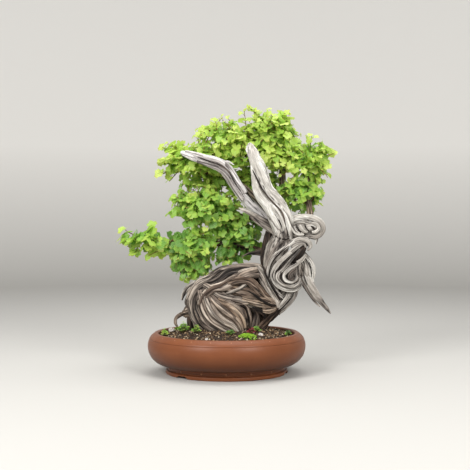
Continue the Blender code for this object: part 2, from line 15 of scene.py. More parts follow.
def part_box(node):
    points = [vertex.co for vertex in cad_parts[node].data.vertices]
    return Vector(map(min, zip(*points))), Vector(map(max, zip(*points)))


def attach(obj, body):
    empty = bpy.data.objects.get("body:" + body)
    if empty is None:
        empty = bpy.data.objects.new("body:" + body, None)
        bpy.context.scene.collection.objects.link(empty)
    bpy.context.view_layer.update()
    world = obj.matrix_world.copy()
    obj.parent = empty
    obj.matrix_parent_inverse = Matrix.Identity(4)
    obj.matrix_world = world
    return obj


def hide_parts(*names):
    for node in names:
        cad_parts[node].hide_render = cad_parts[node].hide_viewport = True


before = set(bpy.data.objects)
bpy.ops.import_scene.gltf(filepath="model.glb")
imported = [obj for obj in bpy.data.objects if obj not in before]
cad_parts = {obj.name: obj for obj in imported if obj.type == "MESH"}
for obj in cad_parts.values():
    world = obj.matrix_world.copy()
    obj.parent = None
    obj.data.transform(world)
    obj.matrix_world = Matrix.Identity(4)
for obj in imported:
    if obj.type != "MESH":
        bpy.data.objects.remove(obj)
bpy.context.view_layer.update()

MM = 0.001
TWIST = 0.006  # how far the grain turns round a strand, in radians for each millimetre
GRAIN_SEED = np.array([37.7, 91.3, 53.1])  # moves each strand to its own part of the noise


# ---- noise -------------------------------------------------------------------------------------
def hashed(ix, iy, iz, seed):
    h = (ix * 374761393 + iy * 668265263 + iz * 1442695041 + seed * 97531) & 0xFFFFFFFF
    h = ((h ^ (h >> 13)) * 1274126177) & 0xFFFFFFFF
    return ((h ^ (h >> 16)) & 0xFFFFFF) / 0x7FFFFF - 1.0


def noise3(p, seed=0):
    """Smooth value noise from -1 to 1 at points p, an array whose last axis is x, y, z."""
    cell = np.floor(p).astype(np.int64)
    f = p - cell
    f = f * f * (3 - 2 * f)
    total = 0.0
    for dx in (0, 1):
        for dy in (0, 1):
            for dz in (0, 1):
                weight = (f[..., 0] if dx else 1 - f[..., 0]) * (f[..., 1] if dy else 1 - f[..., 1])
                weight = weight * (f[..., 2] if dz else 1 - f[..., 2])
                total = total + weight * hashed(cell[..., 0] + dx, cell[..., 1] + dy, cell[..., 2] + dz, seed)
    return total


# ---- paths and meshes --------------------------------------------------------------------------
def spline(points, step):
    """Catmull-Rom through (x, y, z, r) points, resampled every step millimetres."""
    pts = np.array(points, float)
    ends = np.vstack([2 * pts[0] - pts[1], pts, 2 * pts[-1] - pts[-2]])
    t = np.linspace(0, 1, 12, endpoint=False)[:, None]
    rows = []
    for a, b, c, d in zip(ends, ends[1:], ends[2:], ends[3:]):
        square, cube = 2 * a - 5 * b + 4 * c - d, 3 * b - a - 3 * c + d
        rows.append(0.5 * (2 * b + (c - a) * t + square * t**2 + cube * t**3))
    dense = np.vstack(rows + [pts[-1:]])
    length = np.concatenate([[0], np.cumsum(np.linalg.norm(np.diff(dense[:, :3], axis=0), axis=1))])
    count = max(3, int(length[-1] / step))
    at = np.linspace(0, length[-1], count)
    out = np.stack([np.interp(at, length, dense[:, i]) for i in range(4)], axis=1)
    return out[:, :3], np.maximum(out[:, 3], 0.2), at


def frames_along(path, thick_axis):
    """Unit vectors along a path: tangent, the direction nearest to thick_axis, and the third."""
    tangent = np.gradient(path, axis=0)
    tangent /= np.linalg.norm(tangent, axis=1, keepdims=True) + 1e-9
    thick_axis = np.broadcast_to(thick_axis, path.shape).astype(float)
    thick_axis = thick_axis / (np.linalg.norm(thick_axis, axis=1, keepdims=True) + 1e-9)
    first = thick_axis - tangent * (tangent * thick_axis).sum(axis=1, keepdims=True)
    weak = np.linalg.norm(first, axis=1) < 0.25
    spare = np.array([0.6, 0.2, 0.77])
    first[weak] = spare - tangent[weak] * (tangent[weak] @ spare)[:, None]
    first /= np.linalg.norm(first, axis=1, keepdims=True)
    return tangent, first, np.cross(tangent, first)


def tube_faces(rings, sides, start):
    """Quads between rings of a tube and fans to a pole at each end. The poles are the last two vertices."""
    i, k = np.meshgrid(np.arange(rings - 1), np.arange(sides), indexing="ij")
    a = start + i * sides + k
    b = start + i * sides + (k + 1) % sides
    quads = np.stack([a, b, b + sides, a + sides], axis=-1).reshape(-1, 4).tolist()
    low, high = start + rings * sides, start + rings * sides + 1
    last = start + (rings - 1) * sides
    for k in range(sides):
        quads.append([start + (k + 1) % sides, start + k, low])
        quads.append([last + k, last + (k + 1) % sides, high])
    return quads


class Store:
    """Vertices, faces and per-vertex attributes gathered for one mesh."""

    def __init__(self):
        self.verts, self.faces, self.data, self.count = [], [], {}, 0

    def add(self, verts, faces, **data):
        self.verts.append(verts)
        self.faces.extend(faces)
        self.count += len(verts)
        for key, values in data.items():
            self.data.setdefault(key, []).append(np.asarray(values, float))

    def build(self, name, material):
        mesh = bpy.data.meshes.new(name)
        mesh.from_pydata((np.vstack(self.verts) * MM).tolist(), [], self.faces)
        for key, chunks in self.data.items():
            values = np.concatenate(chunks)
            if values.ndim == 2:
                kind = "FLOAT_COLOR" if values.shape[1] == 4 else "FLOAT_VECTOR"
                layer = mesh.attributes.new(key, kind, "POINT")
                layer.data.foreach_set("color" if kind == "FLOAT_COLOR" else "vector", values.ravel())
            else:
                mesh.attributes.new(key, "FLOAT", "POINT").data.foreach_set("value", values)
        mesh.validate()
        mesh.shade_smooth()
        mesh.materials.append(material)
        obj = bpy.data.objects.new(name, mesh)
        bpy.context.scene.collection.objects.link(obj)
        return obj


def finished(name, bm, *materials):
    """Turns a bmesh into an object that isn't in the scene yet."""
    mesh = bpy.data.meshes.new(name)
    bm.to_mesh(mesh)
    bm.free()
    for material in materials:
        mesh.materials.append(material)
    return bpy.data.objects.new(name, mesh)


def join_rings(bm, rings, segments):
    """Faces between neighbouring rings of a turned body. A ring of one vertex is a pole."""
    for one, two in zip(rings, rings[1:]):
        for k in range(segments):
            after = (k + 1) % segments
            corners = [one[k % len(one)], one[after % len(one)], two[after % len(two)], two[k % len(two)]]
            bm.faces.new(list(dict.fromkeys(corners)))
    bmesh.ops.recalc_face_normals(bm, faces=bm.faces)


def colour_stops(ramp_node, stops):
    """Sets a colour ramp's stops from (place, colour) pairs."""
    elements = ramp_node.color_ramp.elements
    while len(elements) < len(stops):
        elements.new(0.5)
    for element, (at, value) in zip(elements, stops):
        element.position = at
        element.color = (*value, 1)


def shader_node(nodes, kind, operation=None, second=None, **values):
    """A shader node with its operation and inputs set. second is its input number 1, and an underscore in
    an input's name stands for a space."""
    node = nodes.new("ShaderNode" + kind)
    if operation:
        node.operation = operation
    if second is not None:
        node.inputs[1].default_value = second
    for label, value in values.items():
        node.inputs[label.replace("_", " ")].default_value = value
    return node


# ---- wood --------------------------------------------------------------------------------------
# Colours from the deepest crevice to the brightest ridge, in linear light. The dark end holds the painted
# shade of crevices, slits and hollows.
GREY_WOOD = np.array([
    (0.026, 0.022, 0.020), (0.150, 0.132, 0.117), (0.390, 0.360, 0.320), (0.600, 0.574, 0.524),
    (0.700, 0.680, 0.632),
])
BROWN_WOOD = np.array([
    (0.010, 0.006, 0.004), (0.072, 0.044, 0.029), (0.215, 0.148, 0.102), (0.400, 0.296, 0.208),
    (0.560, 0.450, 0.340),
])


def ramp(palette, value):
    steps = np.linspace(0, 1, len(palette))
    return np.stack([np.interp(value, steps, palette[:, i]) for i in range(3)], axis=-1)


def wood(
    store, points, tone, light=0.0, flat=1.0, rough=1.0, step=2.2, seed=0, hue=(1, 1, 1), around=None, parts=1
):
    """One limb or strand of grained wood. tone runs from 0, brown bark, to 1, bleached deadwood.
    flat thins the strand along the way that it faces: forwards, or away from the point around.
    parts is how many finer ridges lie along its outer side."""
    path, radius, along = spline(points, step)
    facing = np.array([0.0, -1.0, 0.0]) if around is None else (path - around) * np.array([0.7, 1.2, 1.0])
    _, first, second = frames_along(path, facing)
    if parts == 1:
        wood_tube(store, path, radius, along, first, second, tone, light, flat, rough, step, seed, hue)
        return
    # The core under the ridges is a little darker: painted shade between the ridges.
    inner, core_shaded_light = radius * 0.86, light - 0.12
    wood_tube(store, path, inner, along, first, second, tone, core_shaded_light, flat, rough, step, seed, hue)
    share = 0.12 + 0.80 / parts
    for k in range(parts):
        spot = np.stack([along / 26, np.full(len(along), k * 5.1), np.full(len(along), seed * 3.7)], axis=-1)
        lean = math.radians(66) * (2 * k / (parts - 1) - 1) + 0.30 * noise3(spot, 11)
        reach = (1 - share) * radius
        ridge = path + second * (np.sin(lean) * reach)[:, None]
        ridge = ridge + first * (np.cos(lean) * reach * flat)[:, None]
        thick = radius * share * (1 + 0.22 * noise3(spot + 40, 12))
        _, front, aside = frames_along(ridge, first)
        bright = light + 0.12 * math.sin(2.1 * k + seed)
        own_seed = seed + 30 * k
        wood_tube(store, ridge, thick, along, front, aside, tone, bright, 1.0, rough, step, own_seed, hue)


def wood_tube(store, path, radius, along, first, second, tone, light, flat, rough, step, seed, hue):
    """Skins one strand around its path with ridges, grooves and cracks, and colours it, with painted shade in
    its valleys, grooves and cracks.
    """
    sides = int(np.clip(2 * math.pi * radius.max() / (step * 0.95), 12, 90))
    turn = np.linspace(0, 2 * math.pi, sides, endpoint=False)[None, :]
    r = radius[:, None]
    swirl = turn + TWIST * along[:, None]
    lengthwise = np.broadcast_to(along[:, None], swirl.shape)
    q = np.stack([np.cos(swirl) * r, np.sin(swirl) * r, lengthwise], axis=-1)
    q = q + seed * GRAIN_SEED
    wave = noise3(q / np.array([24, 24, 55.0]), 1)
    ridge = noise3(q / np.array([8.5, 8.5, 75.0]), 2)
    fine = noise3(q / np.array([3.6, 3.6, 40.0]), 3)
    slit = noise3(q / np.array([11, 11, 120.0]), 4)
    shred = noise3(q / np.array([2.4, 2.4, 9.0]), 5)
    small = np.minimum(1, r / 9)
    valley = np.exp(-((ridge / 0.20) ** 2))
    groove = np.exp(-((fine / 0.25) ** 2))
    crack = np.exp(-((slit / 0.075) ** 2)) * (wave > -0.25)
    carved = 0.9 * ridge - 1.8 * valley - 0.95 * groove - 3.2 * crack + 0.25 * shred
    height = 0.13 * r * wave + rough * small * carved
    out = np.maximum(r + height, 0.35 * r)
    verts = path[:, None, :] + first[:, None, :] * (np.cos(turn) * out * flat)[..., None]
    verts = verts + second[:, None, :] * (np.sin(turn) * out)[..., None]
    ends = np.array([path[0] - (path[1] - path[0]) * 0.3, path[-1] + (path[-1] - path[-2]) * 0.3])
    # Painted shade: the colour darkens in valleys, grooves and cracks, less so on pale strands.
    bleached = min(1.0, max(0.0, 2.4 * light))
    crevice_shade = np.clip(0.60 * valley + 0.45 * groove, 0, 1) * (1 - 0.72 * bleached)
    crevice_shade = np.clip(crevice_shade + 1.3 * crack, 0, 1) * np.ones_like(out)
    value = 0.54 + 0.50 * light + 0.17 * wave + 0.13 * fine + 0.08 * shred - 0.56 * crevice_shade
    tones = np.clip(tone + 0.18 * wave, 0, 1)[..., None]
    value = np.clip(value, 0, 1)
    pigment = (ramp(BROWN_WOOD, value) * (1 - tones) + ramp(GREY_WOOD, value) * tones) * np.array(hue)
    pigment = np.concatenate([pigment.reshape(-1, 3), np.full((2, 3), 0.05)])
    flow = np.concatenate([q.reshape(-1, 3), np.zeros((2, 3))])
    all_verts = np.concatenate([verts.reshape(-1, 3), ends])
    faces = tube_faces(len(path), sides, store.count)
    store.add(all_verts, faces, pigment=np.c_[pigment, np.ones(len(pigment))], flow=flow)


LAVENDER = (0.97, 0.955, 1.01)  # multiplies the colour of the dead strands that start on the left
HEART = np.array([14.0, 2.0, 152.0])  # the point that the burl's broad strands face away from

# Each strand in the next four lists is (tone, light, flat, guide points). A light near -0.9 makes a thin
# near-black strand, which is painted shade in a slit, crack or hollow.
# the heart of the burl and the limbs that it sits in
CORE = [
    (0.15, -0.25, 0.95, [
        (-58, 0, 138, 30), (-30, 0, 150, 50), (12, 2, 156, 58), (52, 2, 158, 50), (84, 4, 156, 30),
    ]),
    (0.20, -0.05, 1.0, [
        (86, 6, 220, 14), (46, 8, 225, 15), (4, 6, 218, 17), (-32, 4, 204, 18), (-58, 0, 176, 18),
        (-66, -4, 140, 18), (-56, -12, 108, 18), (-40, -20, 92, 15),
    ]),
    (0.10, -0.20, 1.0, [
        (100, 4, 196, 17), (108, 2, 166, 15), (104, 2, 138, 14), (86, 0, 116, 15), (66, -4, 92, 16),
    ]),
    (0.15, -0.20, 1.0, [
        (70, 22, 214, 20), (18, 38, 202, 22), (-32, 38, 172, 22), (-54, 32, 134, 20), (-48, 34, 92, 18),
    ]),
    (0.15, -0.15, 1.0, [(88, 18, 178, 19), (76, 42, 138, 17), (58, 62, 92, 14)]),
    (0.10, -0.15, 1.0, [(0, 46, 152, 18), (-8, 64, 118, 14), (-12, 78, 88, 9)]),
    (0.05, -0.30, 1.0, [(-40, -30, 120, 22), (-8, -40, 106, 20), (26, -40, 100, 20), (56, -24, 96, 18)]),
]
# broad strands that lie over the heart
BASE = [
    # from the top right over the front to the lower left
    (0.42, -0.02, 1.0, [
        (78, -2, 228, 9), (66, -4, 233, 10), (40, -8, 234, 10), (7, -10, 230, 10), (-15, -12, 223, 11),
        (-37, -14, 209, 11), (-59, -16, 199, 11), (-73, -18, 182, 11), (-80, -18, 164, 10),
        (-77, -22, 142, 10), (-68, -28, 120, 10), (-50, -36, 102, 9), (-36, -42, 90, 6),
    ]),
    (0.45, -0.16, 1.0, [
        (76, -18, 218, 9), (62, -22, 224, 10), (29, -30, 226, 11), (3, -36, 221, 11), (-20, -38, 204, 11),
        (-45, -36, 192, 11), (-60, -36, 180, 10), (-68, -34, 161, 10), (-66, -36, 135, 10),
        (-53, -42, 113, 10), (-28, -50, 98, 8),
    ]),
    (0.25, 0.06, 1.0, [
        (66, -30, 222, 12), (40, -42, 218, 12), (14, -48, 206, 11), (-8, -50, 194, 10), (-30, -48, 186, 10),
        (-48, -46, 172, 9), (-56, -44, 152, 8),
    ]),
    (0.35, 0.10, 0.9, [
        (-50, -40, 196, 5), (-38, -46, 189, 7), (-22, -50, 178, 8), (-4, -53, 170, 8), (18, -56, 164, 8),
        (42, -54, 163, 8), (62, -48, 166, 7), (76, -38, 172, 5),
    ]),
    (0.15, 0.00, 1.0, [(-6, -44, 192, 9), (26, -50, 186, 12), (58, -46, 176, 12), (84, -34, 162, 9)]),
    (0.60, 0.20, 0.9, [
        (0, -56, 180, 2), (12, -59, 183, 3.2), (27, -60, 189, 3.6), (39, -57, 197, 3.2), (48, -52, 205, 2),
    ]),
    (0.10, 0.12, 1.0, [
        (0, -50, 200, 8), (24, -54, 208, 10), (48, -50, 206, 10), (66, -44, 190, 10), (80, -36, 173, 10),
        (98, -24, 160, 9), (110, -16, 150, 7),
    ]),
    (0.62, 0.30, 1.0, [
        (66, -16, 234, 7), (73, -20, 224, 10), (81, -22, 208, 12), (90, -20, 190, 12), (102, -18, 172, 12),
        (112, -14, 157, 11), (113, -10, 144, 10),
    ]),
    (0.00, -0.22, 1.0, [
        (117, -8, 158, 9), (111, -12, 144, 11), (100, -14, 131, 12), (86, -18, 117, 12), (72, -24, 104, 11),
        (60, -28, 90, 9),
    ]),
    (0.05, 0.16, 1.0, [
        (34, -56, 170, 6), (58, -52, 163, 9), (78, -42, 158, 10), (96, -30, 150, 8), (106, -20, 142, 5),
    ]),
    # strands that fall to the lower right
    (0.38, 0.16, 1.0, [
        (-58, -38, 184, 8), (-54, -44, 164, 9), (-47, -50, 142, 10), (-33, -54, 120, 10),
        (-12, -58, 106, 9), (10, -60, 94, 7),
    ]),
    (0.40, 0.20, 1.0, [
        (-46, -46, 178, 7), (-38, -54, 158, 9), (-26, -60, 138, 10), (-6, -64, 120, 9), (12, -65, 109, 8),
        (22, -62, 96, 6),
    ]),
    (0.20, 0.16, 1.0, [
        (-36, -50, 172, 7), (-26, -58, 160, 9), (-9, -64, 144, 10), (12, -66, 128, 10), (25, -65, 113, 9),
        (31, -60, 96, 7),
    ]),
    (0.00, 0.22, 1.0, [
        (-20, -56, 162, 7), (-2, -62, 152, 9), (18, -64, 138, 10), (30, -61, 122, 9), (34, -56, 104, 8),
    ]),
    (0.35, 0.10, 1.0, [
        (-69, -30, 170, 8), (-63, -37, 140, 9), (-48, -45, 114, 9), (-26, -53, 99, 8), (-8, -56, 90, 6),
    ]),
    # the shaded hollow in the middle
    (0.30, 0.02, 1.0, [
        (-4, -58, 160, 7), (12, -60, 152, 8), (26, -56, 142, 8), (35, -50, 128, 8), (38, -46, 112, 8),
        (36, -44, 96, 7),
    ]),
    (0.20, -0.20, 1.0, [
        (10, -56, 166, 8), (30, -54, 156, 9), (42, -46, 146, 8), (47, -42, 130, 8), (48, -42, 112, 8),
        (46, -44, 96, 7),
    ]),
    (0.25, -0.16, 1.0, [
        (52, -42, 154, 7), (62, -38, 146, 8), (66, -34, 132, 8), (64, -36, 116, 8), (58, -38, 98, 8),
    ]),
    (0.60, 0.30, 1.0, [(42, -48, 158, 4), (54, -46, 153, 5), (66, -40, 149, 5), (76, -32, 142, 4)]),
    # thin near-black strands: painted shade in the cracks of the hollow
    (0.05, -0.95, 1.0, [
        (80, -30, 236, 2), (86, -34, 218, 3), (95, -34, 200, 3), (107, -28, 180, 3), (118, -20, 162, 2),
    ]),
    (0.05, -0.95, 1.0, [
        (46, -66, 186, 1), (62, -62, 176, 2.4), (76, -54, 164, 2.6), (94, -42, 154, 2.6),
        (108, -28, 150, 2),
    ]),
    (0.05, -0.95, 1.0, [(56, -60, 150, 2), (70, -52, 142, 4), (80, -44, 134, 3.5), (84, -38, 122, 2)]),
    (0.05, 0.30, 1.0, [(78, -46, 142, 4), (92, -36, 140, 6), (106, -26, 144, 4)]),
    # flakes and the hooked root on the left
    (0.65, -0.10, 0.8, [(-68, -12, 198, 9), (-84, -12, 188, 8), (-94, -12, 174, 6), (-98, -12, 161, 3)]),
    (0.55, -0.15, 0.8, [(-68, -18, 182, 8), (-82, -18, 171, 7), (-89, -18, 157, 5), (-86, -18, 147, 3)]),
    (0.15, -0.08, 0.9, [(-68, -16, 152, 9), (-83, -14, 144, 8), (-91, -14, 134, 6), (-88, -14, 123, 4)]),
    (0.20, 0.05, 1.0, [
        (-66, -18, 137, 10), (-86, -16, 133, 8), (-101, -16, 129, 6), (-110, -18, 121, 5),
        (-112, -20, 111, 4), (-108, -20, 104, 2.5),
    ]),
    (0.10, -0.30, 1.0, [(-76, -12, 138, 10), (-79, -14, 116, 10), (-78, -18, 92, 9)]),
    # strands at the back
    (0.30, 0.02, 1.0, [
        (74, 22, 228, 11), (30, 36, 220, 12), (-14, 40, 208, 13), (-48, 36, 182, 13), (-66, 30, 150, 12),
        (-66, 30, 120, 12), (-52, 38, 92, 10),
    ]),
    (0.22, 0.05, 1.0, [
        (76, 32, 214, 12), (38, 50, 202, 14), (-4, 54, 180, 14), (-34, 52, 152, 13), (-40, 54, 122, 12),
        (-34, 58, 90, 9),
    ]),
    (0.30, 0.00, 1.0, [
        (84, 32, 198, 12), (58, 52, 180, 13), (26, 60, 156, 13), (4, 64, 128, 12), (-6, 66, 94, 9),
    ]),
    (0.15, 0.05, 1.0, [(94, 26, 178, 12), (78, 48, 152, 13), (60, 60, 126, 12), (50, 68, 92, 9)]),
    (0.20, 0.08, 1.0, [(106, 10, 170, 12), (100, 30, 142, 12), (88, 44, 116, 11), (82, 50, 90, 8)]),
    (0.15, -0.10, 1.0, [(-44, 26, 196, 14), (-66, 12, 172, 14), (-76, 4, 140, 13), (-70, 6, 100, 11)]),
    (0.40, -0.05, 1.0, [(88, 10, 262, 10), (66, 12, 264, 7), (48, 12, 262, 4), (34, 10, 256, 1.5)]),
]
COLUMN = [
    (0.80, -0.12, 1.0, [
        (112, 2, 158, 15), (108, 0, 178, 18), (104, -2, 212, 22), (106, -4, 246, 25), (115, -6, 278, 26),
        (124, -8, 304, 22), (119, -8, 332, 16),
    ]),
    (0.12, -0.14, 1.0, [
        (100, 6, 332, 8), (93, 4, 306, 9), (88, 2, 282, 10), (84, 0, 262, 10), (82, -2, 246, 9),
        (86, -6, 228, 8), (90, -8, 214, 7),
    ]),
    (0.60, -0.05, 1.0, [
        (112, 12, 330, 14), (106, 18, 296, 16), (98, 20, 256, 18), (96, 18, 216, 17), (104, 12, 176, 13),
        (116, 6, 150, 8),
    ]),
    (0.70, -0.10, 1.0, [(120, -14, 240, 18), (134, -14, 222, 20), (142, -12, 204, 15)]),
    (0.70, -0.12, 1.0, [
        (164, -4, 272, 7), (160, -5, 256, 11), (155, -5, 238, 14), (152, -4, 220, 15), (146, -4, 204, 13),
        (132, -4, 190, 10),
    ]),
    # ridges that sweep from the brow round the swirl
    (0.72, 0.02, 1.0, [
        (132, -24, 297, 4), (114, -26, 284, 5), (98, -24, 264, 6), (87, -20, 237, 6), (85, -18, 214, 6),
        (91, -18, 191, 5), (102, -14, 172, 4),
    ]),
    (0.95, 0.20, 1.0, [
        (151, -24, 294, 4), (128, -29, 277, 5), (105, -29, 257, 6), (94, -26, 237, 6), (91, -24, 217, 6),
        (97, -23, 197, 6), (112, -20, 179, 5), (128, -14, 164, 3),
    ]),
    (0.97, 0.30, 1.0, [
        (174, -18, 290, 3), (151, -27, 277, 5), (128, -32, 257, 5.5), (109, -32, 237, 6),
        (101, -31, 217, 6), (107, -29, 200, 6), (121, -28, 189, 6), (141, -26, 183, 5),
        (158, -22, 188, 4.5), (166, -18, 201, 3),
    ]),
    (0.95, 0.16, 1.0, [
        (162, -24, 274, 3), (144, -33, 254, 5), (126, -36, 234, 5), (113, -36, 220, 5.5),
        (114, -35, 207, 5.5), (128, -34, 197, 5.5), (145, -31, 193, 5), (158, -28, 200, 4),
        (161, -26, 211, 3),
    ]),
    (0.95, 0.14, 1.0, [
        (166, -24, 252, 2.5), (152, -31, 240, 3.6), (136, -36, 230, 4.2), (125, -38, 218, 4.2),
        (129, -38, 206, 4.2), (143, -36, 202, 3.8), (153, -33, 210, 3.2), (152, -33, 221, 2),
    ]),
    (0.60, -0.35, 1.0, [(152, -12, 246, 7), (160, -10, 232, 9), (165, -9, 216, 9), (162, -10, 202, 6)]),
    (0.45, -0.02, 1.0, [
        (151, -34, 230, 3.5), (140, -39, 221, 4.5), (138, -41, 212, 4.5), (146, -38, 209, 4),
    ]),
    (0.88, 0.10, 1.0, [(176, -20, 262, 3), (164, -26, 250, 5), (154, -30, 244, 4)]),
    # the foot of the column, where it runs down into the burl
    (0.85, 0.00, 1.0, [(150, -6, 192, 11), (140, -6, 170, 12), (126, -4, 150, 12), (110, -2, 134, 12)]),
    (0.95, 0.20, 1.0, [(157, -13, 190, 4), (149, -16, 168, 5), (134, -15, 149, 5), (116, -12, 133, 4)]),
    (0.90, 0.14, 1.0, [(141, -18, 186, 5), (134, -20, 168, 5.5), (120, -18, 150, 5.5), (104, -15, 136, 4)]),
    # a thin near-black strand: painted shade in the crack
    (0.10, -0.95, 1.0, [
        (149, -21, 184, 0.9), (142, -22, 166, 1.5), (127, -21, 149, 1.5), (112, -18, 135, 0.9),
    ]),
    # the deep slits between the ridges, and the hollow, as near-black strands: painted shade
    (0.10, -0.95, 1.0, [
        (107, -36, 222, 1.2), (119, -40, 236, 2.6), (132, -39, 249, 2.4), (142, -34, 260, 1),
    ]),
    (0.10, -0.95, 1.0, [
        (92, -27, 210, 1), (95, -31, 230, 1.9), (102, -34, 248, 2), (116, -34, 265, 1.8),
        (136, -31, 282, 1),
    ]),
    (0.10, -0.95, 1.0, [
        (119, -41, 226, 1), (118, -42, 214, 1.6), (125, -41, 202, 1.6), (140, -39, 197, 1.2),
    ]),
    (0.10, -0.95, 1.0, [
        (106, -25, 304, 0.8), (114, -28, 299, 1.6), (127, -28, 296, 2.0), (137, -26, 298, 0.9),
    ]),
    (0.10, -0.90, 1.0, [(146, -20, 244, 5), (155, -18, 256, 9), (163, -16, 268, 10), (171, -14, 279, 7)]),
    # the slab beside the hollow, and the hanging tusk
    (0.97, 0.26, 0.8, [
        (164, -6, 268, 7), (169, -8, 256, 11), (175, -8, 243, 13.5), (178, -8, 228, 15), (180, -8, 212, 13),
        (184, -8, 198, 11),
    ]),
    (1.00, 0.34, 1.0, [
        (172, -12, 266, 4), (186, -14, 247, 5), (192, -13, 229, 5), (192, -11, 214, 4), (188, -10, 204, 2),
    ]),
    # a thin near-black strand: painted shade in the slab's slit
    (0.10, -0.95, 1.0, [
        (170, -18, 258, 0.8), (180, -21, 243, 1.6), (186, -20, 227, 1.6), (187, -18, 213, 0.8),
    ]),
    (0.96, 0.17, 0.8, [
        (170, -8, 226, 9), (178, -9, 209, 12), (186, -9, 192, 11), (198, -8, 173, 9.5), (211, -8, 156, 7.5),
        (223, -8, 140, 5), (230, -8, 131, 1.5),
    ]),
    (0.60, -0.40, 1.0, [
        (160, -14, 218, 3), (166, -14, 201, 4), (177, -14, 182, 3.5), (192, -13, 161, 3),
        (206, -12, 147, 1.5),
    ]),
    # the brow and the curl
    (0.94, 0.18, 1.0, [
        (136, -22, 284, 6), (152, -22, 293, 7), (168, -20, 296, 6.5), (180, -18, 291, 6.5),
        (185, -16, 281, 5.5), (179, -16, 271, 3),
    ]),
    (0.85, 0.06, 1.0, [(142, -26, 279, 4), (157, -25, 286, 4.5), (170, -22, 286, 4), (175, -20, 278, 3)]),
    (0.90, 0.14, 1.0, [(144, -3, 318, 14), (166, -3, 321, 16), (188, -2, 320, 15), (202, -2, 320, 11)]),
    (0.95, 0.32, 1.0, [
        (132, -4, 337, 7), (148, -6, 343, 7.5), (167, -6, 346, 8), (190, -5, 342, 9), (206, -5, 332, 9.5),
        (212, -5, 319, 9), (207, -6, 307, 8), (196, -8, 301, 8), (184, -10, 303, 7), (172, -12, 302, 6),
    ]),
    (0.94, 0.28, 1.0, [(142, -12, 332, 5), (160, -15, 335, 5.5), (178, -14, 333, 5), (188, -12, 328, 4)]),
    (0.90, 0.18, 1.0, [(146, -17, 323, 5), (150, -19, 314, 5.5), (158, -19, 308, 5), (170, -17, 308, 4)]),
    (0.94, 0.30, 1.0, [(160, -18, 326, 4), (164, -21, 319, 4.5), (170, -20, 313, 4), (178, -18, 311, 3.5)]),
    (0.95, 0.34, 1.0, [
        (188, -15, 331, 3.5), (198, -15, 329, 4), (203, -14, 321, 4), (198, -15, 313, 4),
        (188, -16, 311, 3.5),
    ]),
    # thin near-black strands: painted shade in the curl's slits
    (0.10, -0.90, 1.0, [(152, -20, 330, 0.8), (156, -22, 320, 1.8), (163, -22, 311, 1.4)]),
    (0.10, -0.90, 1.0, [(172, -19, 330, 0.8), (174, -21, 322, 1.8), (181, -19, 314, 1.4)]),
    (0.10, -0.90, 1.0, [(186, -17, 325, 1.5), (191, -18, 321, 3), (194, -17, 317, 1.5)]),
    (1.00, 0.24, 1.0, [(196, -7, 303, 6), (199, -6, 294, 4.5), (198, -6, 285, 1.5)]),
    # solid wood behind the curl, the brow, the hollow and the foot
    (0.70, -0.12, 1.0, [(134, -4, 304, 8), (152, -6, 303, 7), (172, -7, 301, 6), (184, -8, 299, 4)]),
    (0.70, -0.12, 1.0, [
        (180, -7, 286, 5), (166, -7, 277, 8), (152, -6, 266, 9), (138, -5, 255, 9), (130, -4, 240, 9),
    ]),
    (0.65, -0.12, 1.0, [(150, -4, 256, 7), (142, -4, 244, 9), (136, -4, 228, 9)]),
    (0.65, -0.10, 1.0, [(140, -4, 194, 8), (132, -3, 180, 9), (124, -2, 166, 9), (112, -2, 150, 8)]),
]
